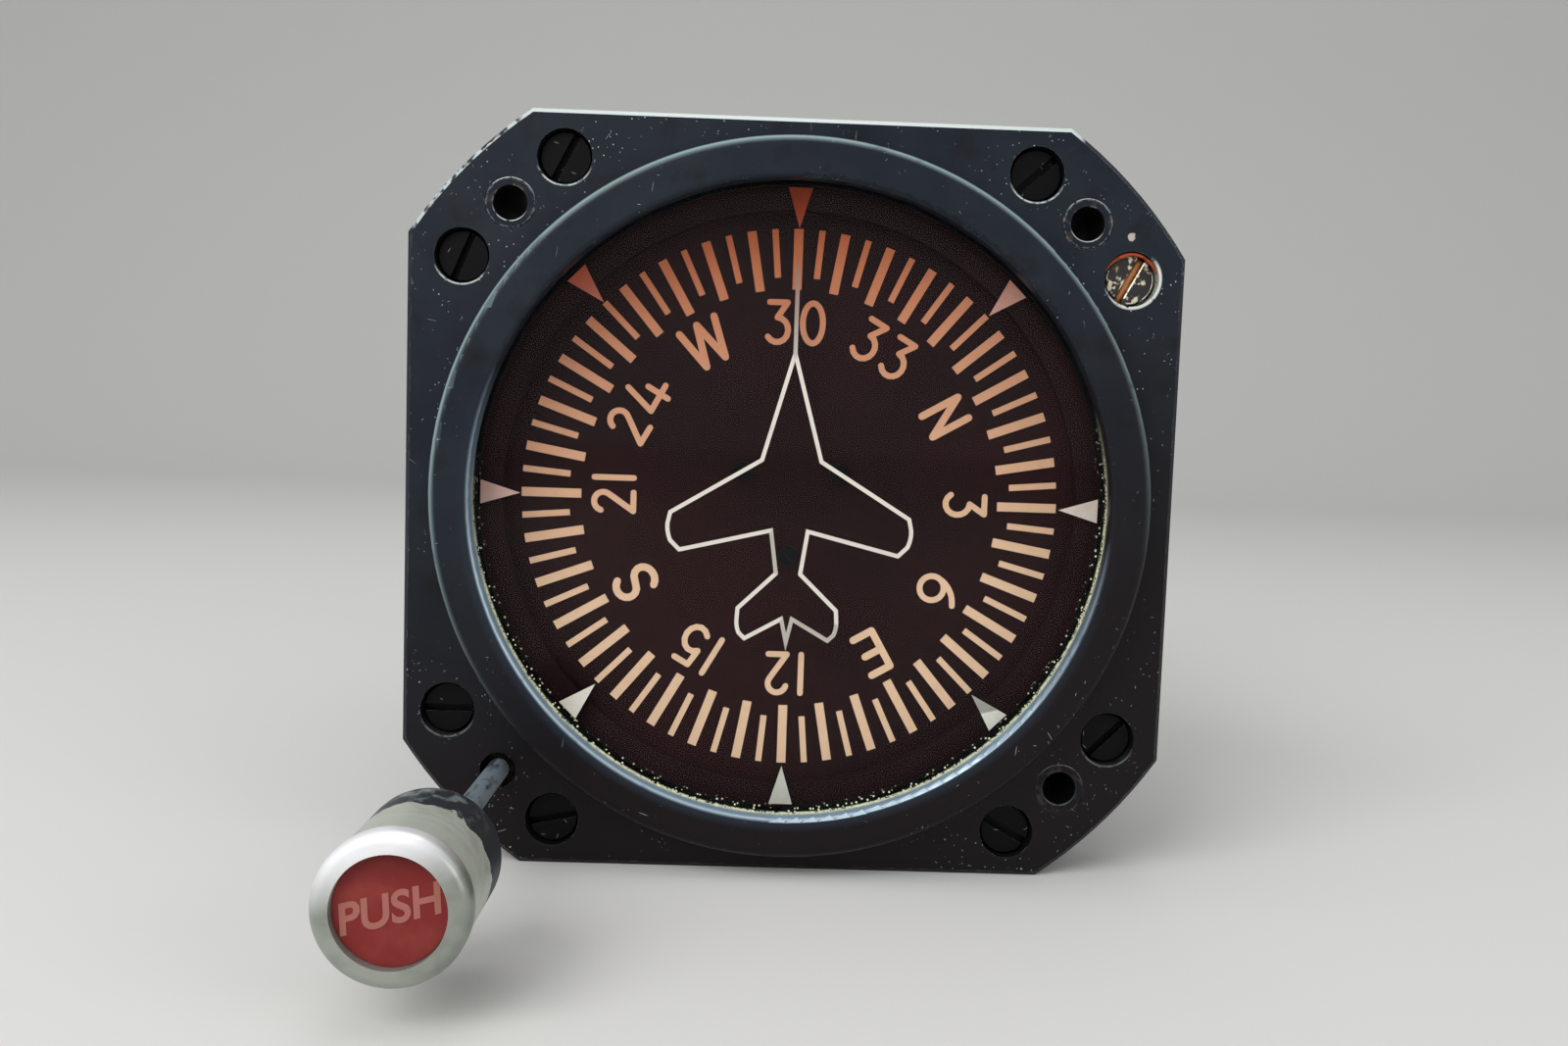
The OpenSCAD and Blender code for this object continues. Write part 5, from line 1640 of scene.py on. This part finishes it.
@dataclass
class Case:
    """The case, its covers and what is fixed to them."""

    enamel: WrinkleEnamel = WrinkleEnamel()
    cork: Sheet = Sheet("cork_and_rubber", "#2b231b", "#57452f", 0.7, 0.03)
    brass: Metal = Metal("cast_brass", "#a88b50", "#6d5732", 0.33, Cut.TURNED, 0.25, 0.006, 0.6)
    cap: Metal = Metal("black_anodised_cap", "#17181a", "#2a2c2f", 0.38, Cut.TURNED, 0.2, 0.004, 0.4)
    felt: Sheet = Sheet("white_felt", "#cbc5b3", "#a79f8a", 0.4, 0.05, 0.95)
    plate: BlankPlate = BlankPlate()
    rivet: Metal = Metal("aluminium_rivet", "#b9bbbc", "#8d9092", 0.3)
    port_at: Pair = (17.0, -17.0)
    port_radius: float = 5.56
    port_front: float = 91.0
    port_back: float = 100.6
    thread_pitch: float = 1.411
    thread_depth: float = 0.45
    thread_half: float = 0.42  # of a ridge, as a share of the pitch
    thread_steps: int = 40
    thread_sunk: float = 0.02

    def build(self) -> None:
        """Dresses the case and cuts the port's thread."""
        black, edges, cork, brass = (self.enamel.dress(), self.enamel.dress_edges(), self.cork.dress(),
                                     self.brass.dress())
        for name in ("case_body", "rear_cover"):
            break_edges(paint(name, black, edges), 0.25)
        for name in ("bezel_gasket", "rear_gasket"):
            paint(name, cork)
        for name, material, edge in (("vacuum_port", brass, 0.3), ("filter_cap", self.cap.dress(), 0.25),
                                     ("data_plate", self.plate.dress(), 0.08)):
            break_edges(paint(name, material), edge)
        paint("filter_element", self.felt.dress())
        paint("plate_rivets", self.rivet.dress())
        self.cut_thread(brass)

    def cut_thread(self, brass: bpy.types.Material) -> bpy.types.Object:
        """Makes the ridge of the port's pipe thread.

        Args:
            brass: The port's finish.

        Returns:
            The thread.
        """
        pitch, per_turn = self.thread_pitch, self.thread_steps
        steps = int((self.port_back - self.port_front - pitch) / pitch * per_turn)
        half = Vector((0, pitch * self.thread_half, 0))
        rings = []
        for i in range(steps + 1):
            out = outward(TAU * i / per_turn)
            fade = min(1.0, i / per_turn, (steps - i) / per_turn) * 0.98 + 0.02
            y = self.port_front + pitch * (i / per_turn + 0.5)
            wall = Vector((self.port_at[0], y, self.port_at[1])) + out * (self.port_radius + self.thread_sunk)
            rings.append([(wall - half) * MM, (wall - out * self.thread_depth * fade) * MM, (wall + half) * MM])
        mesh = bmesh.new()
        sweep(mesh, rings)
        return new_piece("port_thread", mesh, brass, Body.CASE)


def as_lists(corners: Iterable[Vector]) -> list[list[float]]:
    """Turns a box's corners into plain lists."""
    return [[float(part) for part in corner] for corner in corners]


def main() -> None:
    """Builds the camera, the studio and each sub-assembly in order."""
    logging.basicConfig(level=logging.INFO, format="%(name)s: %(message)s")
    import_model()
    packed_box = as_lists(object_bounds())
    PhotographersCamera().build()
    Studio().build(packed_box[0][2])
    for assembly in (FrontBezel(), DialGlass(), CompassCard(), Gyro(), CagingKnob(), Case()):
        assembly.build()
        log.info("dressed %s", type(assembly).__name__)


if __name__ == "__main__":
    main()
